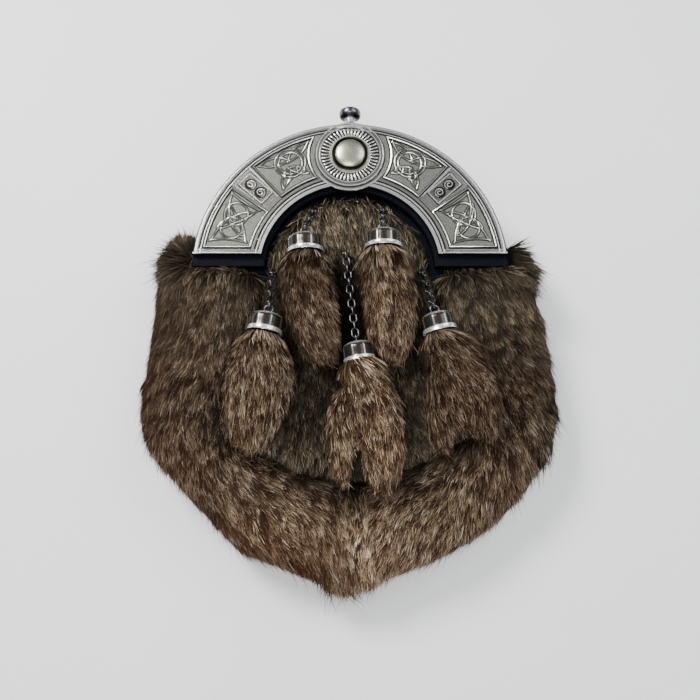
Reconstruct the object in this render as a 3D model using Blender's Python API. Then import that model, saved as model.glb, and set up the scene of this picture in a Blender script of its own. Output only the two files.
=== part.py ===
# A full dress sporran pouch with a metal cantle, a fur front and five fur tassels on chains.
# It lies on its back: X runs to the right, Y towards the top of the cantle, Z up from the surface.
# The origin is below the middle of the whole thing. Sizes below are in millimetres.

import math

import bmesh
import bpy
import numpy as np
from mathutils import Matrix, Vector
from mathutils.bvhtree import BVHTree

MM = 0.001
GAP = 0.3

# The leather pouch, a hollow box that is open behind the cantle at its back.
LEATHER = 2.0
BACK_Z = 7.0
FRONT_Z = 30.0
ARCH_Y = 33.1
POUCH_ARC_R = 79.0
MOUTH_Y = 80.0
# The shoulders, where the pouch's sides meet the arc behind the cantle.
SHOULDER_X = 79.5
SHOULDER_Y = 47.6
SHOULDER_ARC_Y = 51.0

# The cantle, its padded leather backing and the round boss in its middle.
CANTLE_R = 82.9
CANTLE_INNER_R = 46.8
CANTLE_END_Y = 41.0
PAD_R = 83.2
PAD_INNER_R = 44.6
PAD_END_Y = 35.2
PAD_TOP_Z = 36.0
PLATE_TOP_Z = 38.2
RIM_TOP_Z = 39.5
RIM_WIDTH = 3.2
RIM_STEP = 0.3
RIM_STEPS = 22
END_BAR_WIDTH = 2.5
CAST_SEAT = 0.6
BOSS_Y = 97.5
BULGE_R = 21.2
MOULDING_R = 18.1
MOULDING_WIDTH = 2.0
ROUNDEL_SIDES = 24
REED_OUTER_R = 14.8
REED_INNER_R = 11.0
REED_DEPTH = 0.5
BOSS_R = 10.4
BOSS_DOME_R = 8.2
BOSS_COLLAR_Z = 40.0
BOSS_COLLAR_BEVEL = 0.3
BOSS_TOP_Z = 42.3
KNOB_TOP_Y = 126.9
KNOB_Z = 33.1
KNOB_STEM_R = 2.9
# The knob's head and neck, down from its top.
KNOB_COLUMNS = ("down", "radius")
KNOB_HEAD = ((5.4, 2.9), (5.0, 2.6), (4.6, 5.0), (3.9, 5.9), (0.7, 5.9), (0.0, 5.1), (0.0, 0.0))

# The interlace panels, in degrees above the cantle's ends, and the plain blocks between them.
PANEL_R = 65.4
PANEL_HALF_DEPTH = 10.6
LOWER_PANEL_MID = 22.6
LOWER_PANEL_HALF = 11.4
UPPER_PANEL_MID = 61.5
UPPER_PANEL_HALF = 9.6
KNOT_OVERREACH = 1.1
KNOT_POINTS = 16
BLOCK_MID = 42.6
BLOCK_HALF = 4.1
BLOCK_INNER_R = 59.5
BLOCK_OUTER_R = 75.0
BAR_ANGLES = (37.2, 49.2)
BAR_HALF_INNER = 0.8
BAR_HALF_OUTER = 0.6
STRAND_WIDTH = 1.9
STRAND_WAVE = 0.3
# How far each kind of relief stays below the rims.
BAR_DROP = 0.3
STRAND_DROP = 0.35
BLOCK_DROP = 0.6

# The belt loops on the back, which the kilt strap passes through.
LOOP_X = 46.0
LOOP_WIDTH = 22.0
LOOP_THICKNESS = 1.8
LOOP_LOW_Y = 27.0
LOOP_HIGH_Y = 73.0
LOOP_FOOT = 8.0
LOOP_SLOPE = 4.0

# The fur. The bib lies on the pouch inside the cantle's arch, and the coat runs round it in a U.
FUR_BASE_Z = FRONT_Z + GAP
LOCK_HEIGHT = 1.6
# A lock's height at its tip and root, on its middle line and beside it, as parts of LOCK_HEIGHT.
LOCK_TIP = 1.0
LOCK_TIP_SIDE = 0.25
LOCK_ROOT = -0.55
LOCK_ROOT_SIDE = -0.2
BIB_ARCH_X = -1.0
BIB_ARCH_R = 41.5
BIB_CORNER_X = 61.4
CREASE_Y = -74.9
CREASE_RISE = 24.2
CREASE_HALF = 62.0
CREASE_POWER = 1.9
BIB_SPREAD = 0.35
BIB_EDGE_HEIGHT = 2.6
BIB_RISE = 3.9
BIB_RISE_OVER = 9.0
BIB_LOCK = 0.9
BIB_EDGE_LOCK = 0.3
BIB_COLUMNS = 16
BIB_COURSES = 7
BIB_EDGE_POINTS = 20

# One row for each bend of the pouch's side below the cantle, from the shoulder to the bottom point:
# the leather's edge, how deep the fur stands on it at the left and the right, the point of the
# bib's or pad's edge that the coat starts from, the height of its crest, and steps to the next row.
COAT_COLUMNS = ("edge_x", "edge_y", "fur_left", "fur_right", "seam_x", "seam_y", "crest_z", "steps")
COAT_ROWS = (
    (84.5, 46.8, 10.5, 5.5, 83.6, 42.0, 34.0, 1),
    (91.0, 46.4, 9.8, 5.0, 84.0, 38.5, 34.2, 2),
    (95.2, 42.0, 9.0, 6.8, 84.1, 36.5, 34.6, 1),
    (95.6, 34.0, 8.6, 7.5, 84.0, 34.8, 35.0, 2),
    (95.6, 20.0, 9.8, 7.5, 66.0, 34.8, 35.4, 2),
    (96.6, 2.0, 10.4, 8.8, 45.2, 34.8, 35.6, 2),
    (98.2, -16.0, 9.4, 8.4, 48.1, 10.0, 35.6, 3),
    (99.4, -34.0, 9.8, 8.4, 54.8, -18.0, 35.6, 2),
    (96.8, -51.0, 8.5, 9.0, 60.8, -42.0, 35.8, 3),
    (86.0, -67.0, 7.6, 10.0, 62.0, -51.3, 36.0, 3),
    (70.0, -83.5, 7.5, 11.0, 45.0, -62.6, 36.2, 3),
    (53.0, -98.2, 10.3, 8.5, 28.0, -70.2, 36.2, 3),
    (32.0, -108.0, 9.0, 8.5, 13.0, -74.2, 36.0, 2),
    (12.0, -115.0, 9.5, 8.3, 4.0, -75.4, 35.6, 1),
    (0.0, -117.5, 10.5, 10.5, 0.0, -75.5, 35.4, 1),
)

# The coat's section, from the seam over the crest and down round the side to the seam again.
# A top row lies part of the way from the seam to the leather's edge, and its height is a part of
# the crest's. A side row stands off the leather by a part of the fur's depth. Lean is the way
# that a lock there points, outwards and upwards.
TOP_COLUMNS = ("way", "rise", "lean_out", "lean_up")
TOP_ROWS = (
    (0.0, 0.50, 0.0, 0.4),
    (0.22, 0.92, 0.0, 1.0),
    (0.44, 1.0, 0.0, 1.0),
    (0.66, 0.93, 0.1, 1.0),
    (0.88, 0.66, 0.3, 0.9),
)
SIDE_COLUMNS = ("depth", "z", "lean_out", "lean_up")
SIDE_ROWS = (
    (0.35, 30.0, 0.6, 0.8),
    (0.78, 22.5, 0.9, 0.4),
    (1.0, 12.0, 1.0, 0.0),
    (0.92, 4.5, 0.8, 0.0),
    (0.70, 0.0, 0.0, 0.0),
    (0.36, 0.0, 0.0, 0.0),
)
COAT_INNER_Z = 1.2
# More than the plain gap, because the pouch's outline cuts the corners of the coat's.
COAT_INNER_GAP = 0.45
# Locks point down the coat where its edge faces this far downwards, and outwards elsewhere.
DOWNWARD_FROM = 0.25
DOWNWARD_OVER = 0.4

# The pale tuft that stands out of the coat above its bottom point.
TUFT_X = 5.5
TUFT_Y = -101.0
TUFT_HALF_WIDTH = 7.0
TUFT_HALF_LENGTH = 12.0
TUFT_HEIGHT = 3.0

# The tassels. Top and rim are the two ends of the cap's middle line, the belly is the widest
# place of the fur and the tip its end.
TASSEL_COLUMNS = (
    "cap_r", "top_x", "top_y", "rim_x", "rim_y",
    "belly_x", "belly_y", "half_width", "tip_x", "tip_y", "staple_x", "staple_y",
)
TASSELS = (
    (9.4, -22.9, 47.8, -22.5, 37.6, -20.4, 13.0, 15.0, -9.0, -19.0, -19.4, 66.0),
    (9.7, 17.0, 50.0, 17.1, 39.8, 20.0, 13.0, 15.0, 18.0, -18.0, 17.6, 66.0),
    (8.8, -40.7, 6.3, -42.4, -4.2, -44.5, -30.0, 18.0, -52.0, -62.0, -40.4, 31.5),
    (8.0, 3.2, -8.6, 4.5, -16.6, 13.8, -47.0, 13.4, 12.0, -82.0, -2.4, 41.0),
    (8.5, 42.4, 6.3, 44.6, -3.6, 56.5, -28.0, 16.4, 62.0, -56.0, 37.4, 31.5),
)
# The second lobe that two of the tassels part into.
LOBE_COLUMNS = ("tassel", "root_x", "root_y", "belly_x", "belly_y", "half_width", "tip_x", "tip_y")
LOBES = (
    (4, 2.0, -24.0, -4.4, -46.0, 7.9, -1.0, -79.0),
    (5, 46.0, -16.0, 43.0, -40.0, 8.5, 49.5, -61.0),
)
TASSEL_DEPTH = 10.6
TASSEL_FLOOR_Z = 38.6
TASSEL_SIDES = 12
LOBE_STRAIGHT = 14.0
LOBE_TUCK = 3.0
LOBE_ROOT_PART = 0.78
LOBE_ROOT_CLEAR = 1.2
LOBE_TIP_RISE = 2.5
LOBE_BELLY_SINK = 0.4
SIDE_LOBE_ROOT_R = 3.0
SIDE_LOBE_DEPTH = 0.5
LOBE_LOCK = 0.10
# How wide a lobe is along its middle line: 0 is its root's radius and 1 its widest place.
LOBE_PROFILE_COLUMNS = ("along", "part")
LOBE_PROFILE = (
    (0.0, 0.0), (0.10, 0.12), (0.18, 0.66), (0.30, 0.92), (0.50, 1.0),
    (0.68, 0.93), (0.83, 0.68), (0.94, 0.27), (1.0, 0.0),
)
CAP_Z = 49.2
CAP_SIDES = 10
CAP_COLUMNS = ("along", "radius")
CAP_PROFILE = (
    (0.0, 0.0), (0.4, 0.64), (1.8, 0.85), (7.2, 0.91), (10.4, 1.0),
    (10.0, 0.92), (3.9, 0.76), (1.9, 0.0),
)
SCALLOP = 0.3
SCALLOP_FROM = 8.0
EYE_R = 2.1
EYE_WIRE_R = 0.55
EYE_OUT = 1.4

# Chain links, and the wire staples that hold the chains to the bib.
WIRE_SIDES = 5
LINK_STEPS = 10
LINK_WIRE_R = 0.475
LINK_LENGTH = 4.1
LINK_WIDTH = 2.3
LINK_OVERLAP = 0.2
LINK_CLEARANCE = 0.45
STAPLE_WIRE_R = 0.5
STAPLE_HALF_SPAN = 1.8
STAPLE_HEIGHT = 2.4
STAPLE_BEND = 0.7
STAPLE_CLEARING = 4.5

COLOURS = {
    "leather": ((0.012, 0.012, 0.015, 1.0), 0.45, 0.0),
    "fur": ((0.16, 0.11, 0.075, 1.0), 0.9, 0.0),
    "bib_fur": ((0.14, 0.12, 0.085, 1.0), 0.9, 0.0),
    "pewter": ((0.52, 0.53, 0.50, 1.0), 0.32, 1.0),
    "polished": ((0.72, 0.69, 0.62, 1.0), 0.15, 1.0),
    "steel": ((0.18, 0.18, 0.19, 1.0), 0.35, 1.0),
}


# ---- Helpers ----


def clear_scene():
    for old in list(bpy.data.objects):
        bpy.data.objects.remove(old)


def make_material(name):
    colour, roughness, metallic = COLOURS[name]
    material = bpy.data.materials.new(name)
    material.use_nodes = True
    shader = material.node_tree.nodes["Principled BSDF"]
    shader.inputs["Base Color"].default_value = colour
    shader.inputs["Roughness"].default_value = roughness
    shader.inputs["Metallic"].default_value = metallic
    return material


def as_mesh(shape, name):
    bmesh.ops.remove_doubles(shape, verts=shape.verts, dist=0.0001 * MM)
    bmesh.ops.recalc_face_normals(shape, faces=shape.faces)
    mesh = bpy.data.meshes.new(name)
    shape.to_mesh(mesh)
    shape.free()
    return mesh


def add_part(name, mesh, material, smooth_below=None):
    mesh.name = name
    mesh.materials.clear()
    mesh.materials.append(material)
    if smooth_below is not None:
        mesh.shade_smooth()
        mesh.set_sharp_from_angle(angle=math.radians(smooth_below))
    part = bpy.data.objects.new(name, mesh)
    bpy.context.scene.collection.objects.link(part)
    return part


# One closed mesh from meshes that run into each other.
def fuse(meshes):
    base = bpy.data.objects.new("fuse_base", meshes[0])
    bpy.context.scene.collection.objects.link(base)
    tools = bpy.data.collections.new("fuse_tools")
    bpy.context.scene.collection.children.link(tools)
    for mesh in meshes[1:]:
        tools.objects.link(bpy.data.objects.new("fuse_tool", mesh))
    union = base.modifiers.new("union", "BOOLEAN")
    union.operation = "UNION"
    union.solver = "EXACT"
    union.use_self = True
    union.operand_type = "COLLECTION"
    union.collection = tools
    graph = bpy.context.evaluated_depsgraph_get()
    fused = bpy.data.meshes.new_from_object(base.evaluated_get(graph))
    for tool in list(tools.objects):
        bpy.data.objects.remove(tool)
    bpy.data.collections.remove(tools)
    bpy.data.objects.remove(base)
    return fused


def rows_by_name(columns, rows):
    return [dict(zip(columns, row)) for row in rows]


def polar(radius, degrees, centre_y=ARCH_Y):
    angle = math.radians(degrees)
    return (radius * math.cos(angle), centre_y + radius * math.sin(angle))


def arc(radius, start, end, count, centre_y=ARCH_Y):
    return [polar(radius, start + (end - start) * i / count, centre_y) for i in range(count + 1)]


def angle_at(radius, y):
    return math.degrees(math.asin((y - ARCH_Y) / radius))


# A flat plate with this outline, from one height to another.
def prism(outline, low_z, high_z, name="prism"):
    shape = bmesh.new()
    corners = [shape.verts.new(Vector((x, y, low_z)) * MM) for x, y in outline]
    base = shape.faces.new(corners)
    raised = bmesh.ops.extrude_face_region(shape, geom=[base])["geom"]
    top = [item for item in raised if isinstance(item, bmesh.types.BMVert)]
    bmesh.ops.translate(shape, verts=top, vec=(0, 0, (high_z - low_z) * MM))
    return as_mesh(shape, name)


# Closed rings of points joined one to the next, with a face over each end. A ring of one point
# is a pole.
def loft(rings, name="loft", closed=False):
    shape = bmesh.new()
    made = [[shape.verts.new(Vector(point) * MM) for point in ring] for ring in rings]
    pairs = list(zip(made, made[1:]))
    if closed:
        pairs.append((made[-1], made[0]))
    for lower, upper in pairs:
        sides = max(len(lower), len(upper))
        for i in range(sides):
            k = (i + 1) % sides
            a, b = lower[i % len(lower)], lower[k % len(lower)]
            c, d = upper[k % len(upper)], upper[i % len(upper)]
            shape.faces.new(list(dict.fromkeys((a, b, c, d))))
    if not closed:
        for ring in (made[0], made[-1]):
            if len(ring) > 2:
                shape.faces.new(ring)
    return as_mesh(shape, name)


# Rings of a profile turned about an axis. The profile holds distances along it and radii, and a
# scallop draws in every second point of the rings that lie far along.
def turned(profile, origin, axis, sides, scallop=0.0):
    across = axis.orthogonal().normalized()
    other = axis.cross(across)
    rings = []
    for along, radius in profile:
        centre = origin + axis * along
        if radius == 0:
            rings.append([centre])
            continue
        ring = []
        for i in range(sides):
            angle = 2 * math.pi * i / sides
            out = across * math.cos(angle) + other * math.sin(angle)
            dip = scallop * (i % 2) if along > SCALLOP_FROM else 0.0
            ring.append(centre + out * radius - axis * dip)
        rings.append(ring)
    return rings


def smooth_step(value):
    value = min(max(value, 0.0), 1.0)
    return value * value * (3 - 2 * value)


# Height of a vertex in the shingled locks: along counts vertices down the hair, across counts them
# over it. Every second vertex down the hair is the tip of a lock, and neighbouring courses are
# staggered.
def lock_height(along, across):
    tip = along % 2
    middle = (across + along // 2) % 2
    if tip:
        return LOCK_TIP if middle else LOCK_TIP_SIDE
    return LOCK_ROOT if middle else LOCK_ROOT_SIDE


# ---- Outlines ----


def cubic(before, start, end, after, t):
    return 0.5 * (
        2 * start
        + (end - before) * t
        + (2 * before - 5 * start + 4 * end - after) * t**2
        + (3 * start - before - 3 * end + after) * t**3
    )


# Stations round the coat, from the left shoulder by the bottom point to the right shoulder. The
# leather's edge is a smooth curve through the rows, and the seam runs straight between them.
def coat_stations():
    rows = rows_by_name(COAT_COLUMNS, COAT_ROWS)
    bends = []
    for side, ordered in ((-1, rows), (1, rows[-2::-1])):
        for row in ordered:
            fur = row["fur_left"] if side < 0 else row["fur_right"]
            values = (side * row["edge_x"], row["edge_y"], fur, side * row["seam_x"], row["seam_y"])
            bends.append(np.array(values + (row["crest_z"],)))
    steps = [row["steps"] for row in rows[:-1]]
    steps = steps + steps[::-1]
    stations = []
    for i, count in enumerate(steps):
        around = [bends[min(max(i + k, 0), len(bends) - 1)] for k in (-1, 0, 1, 2)]
        for step in range(count):
            t = step / count
            values = around[1] * (1 - t) + around[2] * t
            values[:2] = cubic(*[bend[:2] for bend in around], t)
            stations.append(values)
    stations.append(bends[-1])
    edges = [Vector(values[:2]) for values in stations]
    found = []
    for i, values in enumerate(stations):
        along = (edges[min(i + 1, len(edges) - 1)] - edges[max(i - 1, 0)]).normalized()
        found.append({
            "edge": edges[i],
            "out": Vector((along.y, -along.x)),
            "fur": values[2],
            "seam": Vector(values[3:5]),
            "crest_z": values[5],
        })
    return found


# The pouch's outline: every second station of the coat, then the arc behind the cantle.
def pouch_outline(top_y=None):
    lower = [tuple(station["edge"]) for station in coat_stations()[::2]]
    start = angle_at(POUCH_ARC_R, SHOULDER_ARC_Y)
    if top_y is None:
        top = arc(POUCH_ARC_R, start, 180 - start, 14)
    else:
        end = angle_at(POUCH_ARC_R, top_y)
        top = arc(POUCH_ARC_R, start, end, 4) + arc(POUCH_ARC_R, 180 - end, 180 - start, 4)
    return lower + [(SHOULDER_X, SHOULDER_Y)] + top + [(-SHOULDER_X, SHOULDER_Y)]


def inset(outline, distance):
    count = len(outline)
    moved = []
    for i in range(count):
        before, here, after = (Vector(outline[(i + k) % count]) for k in (-1, 0, 1))
        first = (here - before).normalized()
        second = (after - here).normalized()
        bisector = Vector((-first.y - second.y, first.x + second.x)).normalized()
        stretch = max(bisector.dot(Vector((-first.y, first.x))), 0.5)
        moved.append(tuple(here + bisector * (distance / stretch)))
    return moved


# The cantle's inner arc with the bulge round the boss, from the right end to the left one.
def inner_arch(radius, bulge_radius, end_y, count=9, bulge_count=6):
    drop = BOSS_Y - ARCH_Y
    meet_y = (drop**2 + radius**2 - bulge_radius**2) / (2 * drop)
    meet_x = math.sqrt(radius**2 - meet_y**2)
    meet = math.degrees(math.atan2(meet_y, meet_x))
    turn = math.degrees(math.atan2(meet_y - drop, meet_x))
    start = angle_at(radius, end_y)
    right = arc(radius, start, meet, count)
    bulge = arc(bulge_radius, turn, -180 - turn, bulge_count, BOSS_Y)[1:-1]
    left = [(-x, y) for x, y in reversed(right)]
    return right + bulge + left


def crease_y(x):
    return CREASE_Y + CREASE_RISE * (abs(x) / CREASE_HALF) ** CREASE_POWER


def bib_top(u):
    angle = math.pi / 2 * u
    return Vector((BIB_ARCH_X + BIB_ARCH_R * math.sin(angle), ARCH_Y + BIB_ARCH_R * math.cos(angle)))


def bib_bottom(u):
    x = BIB_CORNER_X * (math.sin(math.pi / 2 * u) * BIB_SPREAD + u * (1 - BIB_SPREAD))
    return Vector((x, crease_y(x)))


def bib_edge():
    across = [2 * i / BIB_EDGE_POINTS - 1 for i in range(BIB_EDGE_POINTS + 1)]
    return [bib_top(u) for u in across] + [bib_bottom(-u) for u in across]


# How far a point inside the bib lies from its edge.
def inside_bib(point, edge):
    nearest = 1000.0
    for start, end in zip(edge, edge[1:] + edge[:1]):
        side = end - start
        t = min(max((point - start).dot(side) / side.length_squared, 0.0), 1.0)
        nearest = min(nearest, (point - start - side * t).length)
    return nearest


def bib_height(point, edge):
    rise = smooth_step(inside_bib(point, edge) / BIB_RISE_OVER)
    return FUR_BASE_Z + BIB_EDGE_HEIGHT + BIB_RISE * rise


# ---- Leather ----


# The front and the gusset of the pouch in one, open at the back.
def pouch_shell(leather):
    outside = pouch_outline()
    inside = inset(outside, LEATHER)
    back = BACK_Z + LEATHER + GAP
    heights = (
        (inside, FRONT_Z - LEATHER),
        (inside, back),
        (outside, back),
        (outside, FRONT_Z),
    )
    rings = [[(x, y, z) for x, y in outline] for outline, z in heights]
    return add_part("pouch_shell", loft(rings), leather)


# The flat back, which ends below the mouth that the hand goes in by.
def back_panel(leather):
    return add_part("back_panel", prism(pouch_outline(MOUTH_Y), BACK_Z, BACK_Z + LEATHER), leather)


def belt_loop(name, x, leather):
    foot_z = BACK_Z - GAP
    low, high = LOOP_LOW_Y, LOOP_HIGH_Y
    rise_low = low + LOOP_FOOT + LOOP_SLOPE
    rise_high = high - LOOP_FOOT - LOOP_SLOPE
    under = [
        (low, foot_z), (low, foot_z - LOOP_THICKNESS),
        (low + LOOP_FOOT - LOOP_THICKNESS, foot_z - LOOP_THICKNESS),
        (rise_low - LOOP_THICKNESS, 0.0), (rise_high + LOOP_THICKNESS, 0.0),
        (high - LOOP_FOOT + LOOP_THICKNESS, foot_z - LOOP_THICKNESS),
        (high, foot_z - LOOP_THICKNESS), (high, foot_z),
    ]
    over = [
        (high - LOOP_FOOT, foot_z), (rise_high, LOOP_THICKNESS),
        (rise_low, LOOP_THICKNESS), (low + LOOP_FOOT, foot_z),
    ]
    sides = (x - LOOP_WIDTH / 2, x + LOOP_WIDTH / 2)
    rings = [[(side, y, z) for y, z in under + over] for side in sides]
    return add_part(name, loft(rings), leather)


# The padded half ring of leather that the cantle is riveted to.
def cantle_pad(leather):
    start = angle_at(PAD_R, PAD_END_Y)
    inner_start = angle_at(PAD_INNER_R, PAD_END_Y)
    outline = arc(PAD_R, start, 180 - start, 24) + arc(PAD_INNER_R, 180 - inner_start, inner_start, 16)
    return add_part("cantle_pad", prism(outline, FUR_BASE_Z, PAD_TOP_Z), leather)


# ---- Metal ----


# A closed strand of the interlace: a raised strip along a looped curve, which rises and dips.
def strand(points, low_z):
    count = len(points)
    rings = []
    for i, (here, top_z) in enumerate(points):
        along = (points[(i + 1) % count][0] - points[i - 1][0]).normalized()
        out = Vector((along.y, -along.x)) * STRAND_WIDTH / 2
        left, right = here - out, here + out
        rings.append([(*left, low_z), (*right, low_z), (*right, top_z), (*left, top_z)])
    return loft(rings, closed=True)


# A knot of three loops in a panel of the cantle. Side is 1 at the right and -1 at the left.
def panel_knot(side, middle, half, count):
    points = []
    for i in range(count):
        t = 2 * math.pi * i / count
        over = (math.sin(t) + 2 * math.sin(2 * t)) / 3
        up = (math.cos(t) - 2 * math.cos(2 * t)) / 3
        radius = PANEL_R + up * PANEL_HALF_DEPTH
        x, y = polar(radius, middle + over * half * KNOT_OVERREACH)
        wave = STRAND_WAVE * math.sin(3 * t)
        points.append((Vector((side * x, y)), RIM_TOP_Z - STRAND_DROP + wave))
    return strand(points, PLATE_TOP_Z - CAST_SEAT)


# The raised rim that follows the outline: outer arc, two ends and the inner arc with its bulge.
def cantle_rims():
    low = PLATE_TOP_Z - CAST_SEAT
    end_y = CANTLE_END_Y + RIM_STEP
    outer_r = CANTLE_R - RIM_STEP
    under_r = outer_r - RIM_WIDTH
    inner_r = CANTLE_INNER_R + RIM_STEP
    bulge_r = BULGE_R - RIM_STEP
    start, under_start = angle_at(outer_r, end_y), angle_at(under_r, end_y)
    outer = arc(outer_r, start, 180 - start, RIM_STEPS)
    under = arc(under_r, 180 - under_start, under_start, RIM_STEPS)
    inner = inner_arch(inner_r, bulge_r, end_y)
    above = inner_arch(inner_r + RIM_WIDTH, bulge_r - RIM_WIDTH, end_y)
    rims = [prism(outer + under, low, RIM_TOP_Z), prism(inner + above[::-1], low, RIM_TOP_Z)]
    low_y, high_y = end_y + RIM_STEP, end_y + RIM_STEP + END_BAR_WIDTH
    for side in (-1, 1):
        near, far = side * (inner_r + 1), side * (outer_r - 1)
        bar = [(near, low_y), (far, low_y), (far, high_y), (near, high_y)]
        rims.append(prism(bar[::side], low, RIM_TOP_Z - BAR_DROP))
    return rims


# A flat piece between two radii, with its half width in degrees at each.
def sector(side, inner_r, outer_r, middle, half_inner, half_outer, low_z, high_z):
    corners = [polar(inner_r, middle - half_inner), polar(outer_r, middle - half_outer),
               polar(outer_r, middle + half_outer), polar(inner_r, middle + half_inner)]
    return prism([(side * x, y) for x, y in corners], low_z, high_z)


# The bars and the small block between the panels of one side.
def cantle_blocks(side):
    low = PLATE_TOP_Z - CAST_SEAT
    inner_r = CANTLE_INNER_R + RIM_WIDTH
    outer_r = CANTLE_R - RIM_WIDTH
    made = []
    for angle in BAR_ANGLES:
        made.append(sector(side, inner_r, outer_r, angle, BAR_HALF_INNER, BAR_HALF_OUTER, low,
                           RIM_TOP_Z - BAR_DROP))
    made.append(sector(side, BLOCK_INNER_R, BLOCK_OUTER_R, BLOCK_MID, BLOCK_HALF, BLOCK_HALF, low,
                       RIM_TOP_Z - BLOCK_DROP))
    return made


# The moulding and the reeded ring round the boss.
def roundel_rings():
    low = PLATE_TOP_Z - CAST_SEAT
    up = Vector((0, 0, 1))
    centre = Vector((0, BOSS_Y, low))
    rings = []
    for outer_r, inner_r, height, reeds in (
        (MOULDING_R, MOULDING_R - MOULDING_WIDTH, RIM_TOP_Z + RIM_STEP - low, 0.0),
        (REED_OUTER_R, REED_INNER_R, RIM_TOP_Z - low, REED_DEPTH),
    ):
        profile = ((0, outer_r), (height, outer_r), (height, inner_r), (0, inner_r))
        made = turned(profile, centre, up, ROUNDEL_SIDES)
        for ring in made[1:3]:
            for i, point in enumerate(ring):
                point -= up * reeds * (i % 2)
        rings.append(loft(made, closed=True))
    return rings


# The plate with everything that is cast with it.
def cantle(pewter):
    start = angle_at(CANTLE_R, CANTLE_END_Y)
    outer = arc(CANTLE_R, start, 180 - start, RIM_STEPS)
    inner = inner_arch(CANTLE_INNER_R, BULGE_R, CANTLE_END_Y)
    raised = [prism(outer + inner[::-1], PAD_TOP_Z + GAP, PLATE_TOP_Z)]
    raised += cantle_rims() + roundel_rings()
    for side in (-1, 1):
        raised += cantle_blocks(side)
        raised.append(panel_knot(side, LOWER_PANEL_MID, LOWER_PANEL_HALF, KNOT_POINTS))
        raised.append(panel_knot(side, UPPER_PANEL_MID, UPPER_PANEL_HALF, KNOT_POINTS))
    return add_part("cantle", fuse(raised), pewter)


# The polished boss in the middle of the roundel, with its collar.
def centre_boss(polished):
    base_z = PLATE_TOP_Z + GAP
    collar_z = BOSS_COLLAR_Z - base_z
    dome = BOSS_TOP_Z - BOSS_COLLAR_Z
    profile = [(0, 0), (0, BOSS_R), (collar_z, BOSS_R - BOSS_COLLAR_BEVEL),
               (collar_z - BOSS_COLLAR_BEVEL, BOSS_DOME_R)]
    for degrees in (30, 60):
        angle = math.radians(degrees)
        profile.append((collar_z + dome * math.sin(angle), BOSS_DOME_R * math.cos(angle)))
    profile.append((collar_z + dome, 0))
    rings = turned(profile, Vector((0, BOSS_Y, base_z)), Vector((0, 0, 1)), 16)
    return add_part("centre_boss", loft(rings), polished, 40)


# The finial on top of the cantle: a stem from the pad's edge, and a round flat head.
def knob(pewter):
    base_y = ARCH_Y + PAD_R + GAP
    length = KNOB_TOP_Y - base_y
    profile = [(0, 0), (0, KNOB_STEM_R)]
    profile += [(length - bend["down"], bend["radius"]) for bend in rows_by_name(KNOB_COLUMNS, KNOB_HEAD)]
    rings = turned(profile, Vector((0, base_y, KNOB_Z)), Vector((0, 1, 0)), 14)
    return add_part("knob", loft(rings), pewter, 40)


# ---- Fur ----


# The U of long fur: a sheet on the pouch's front that turns down over its sides to the surface.
def fur_coat(fur):
    top_rows = rows_by_name(TOP_COLUMNS, TOP_ROWS)
    side_rows = rows_by_name(SIDE_COLUMNS, SIDE_ROWS)
    rings = []
    for i, station in enumerate(coat_stations()):
        edge, out, seam = station["edge"], station["out"], station["seam"]
        downward = smooth_step((-out.y - DOWNWARD_FROM) / DOWNWARD_OVER)
        section = []
        for row in top_rows:
            place = seam.lerp(edge, row["way"])
            z = FUR_BASE_Z + (station["crest_z"] - FUR_BASE_Z) * row["rise"]
            section.append((place, z, row))
        for row in side_rows:
            section.append((edge + out * station["fur"] * row["depth"], row["z"], row))
        ring = []
        for j, (place, z, row) in enumerate(section):
            lock = lock_height(j, i) * downward + lock_height(i, j) * (1 - downward)
            place = place + out * lock * LOCK_HEIGHT * row["lean_out"]
            z = max(z + lock * LOCK_HEIGHT * row["lean_up"] + tuft_height(place, z), 0.0)
            ring.append((place.x, place.y, z))
        inner = edge + out * COAT_INNER_GAP
        ring.append((inner.x, inner.y, COAT_INNER_Z))
        ring.append((inner.x, inner.y, FUR_BASE_Z))
        ring.append((seam.x, seam.y, FUR_BASE_Z))
        rings.append(ring)
    return add_part("fur_coat", loft(rings), fur, 30)


def tuft_height(place, z):
    far = math.hypot((place.x - TUFT_X) / TUFT_HALF_WIDTH, (place.y - TUFT_Y) / TUFT_HALF_LENGTH)
    return TUFT_HEIGHT * smooth_step(1 - far) if z > FUR_BASE_Z else 0.0


# The short fur inside the arch, flat below and in locks above.
def fur_bib(fur):
    edge = bib_edge()
    staples = [Vector((row["staple_x"], row["staple_y"])) for row in rows_by_name(TASSEL_COLUMNS, TASSELS)]
    shape = bmesh.new()
    grid = []
    for j in range(2 * BIB_COURSES + 1):
        row = []
        for i in range(BIB_COLUMNS + 1):
            u = 2 * i / BIB_COLUMNS - 1
            place = bib_top(u).lerp(bib_bottom(u), j / (2 * BIB_COURSES))
            staple = min(staples, key=lambda other: (place - other).length)
            calm = smooth_step((place - staple).length / STAPLE_CLEARING - 1)
            on_edge = j in (0, 2 * BIB_COURSES) or i in (0, BIB_COLUMNS)
            lock = lock_height(j, i) * calm * (BIB_EDGE_LOCK if on_edge else BIB_LOCK)
            level = bib_height(place, edge)
            level = level * calm + min(level, bib_height(staple, edge)) * (1 - calm)
            z = level + lock * LOCK_HEIGHT
            row.append(shape.verts.new(Vector((place.x, place.y, z)) * MM))
        grid.append(row)
    for upper, lower in zip(grid, grid[1:]):
        for i in range(BIB_COLUMNS):
            shape.faces.new((upper[i], lower[i], lower[i + 1], upper[i + 1]))
    rim = [side for side in shape.edges if side.is_boundary]
    wall = bmesh.ops.extrude_edge_only(shape, edges=rim)["geom"]
    for corner in (item for item in wall if isinstance(item, bmesh.types.BMVert)):
        corner.co.z = FUR_BASE_Z * MM
    bmesh.ops.contextual_create(shape, geom=[side for side in shape.edges if side.is_boundary])
    return add_part("fur_bib", as_mesh(shape, "fur_bib"), fur, 30)


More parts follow.
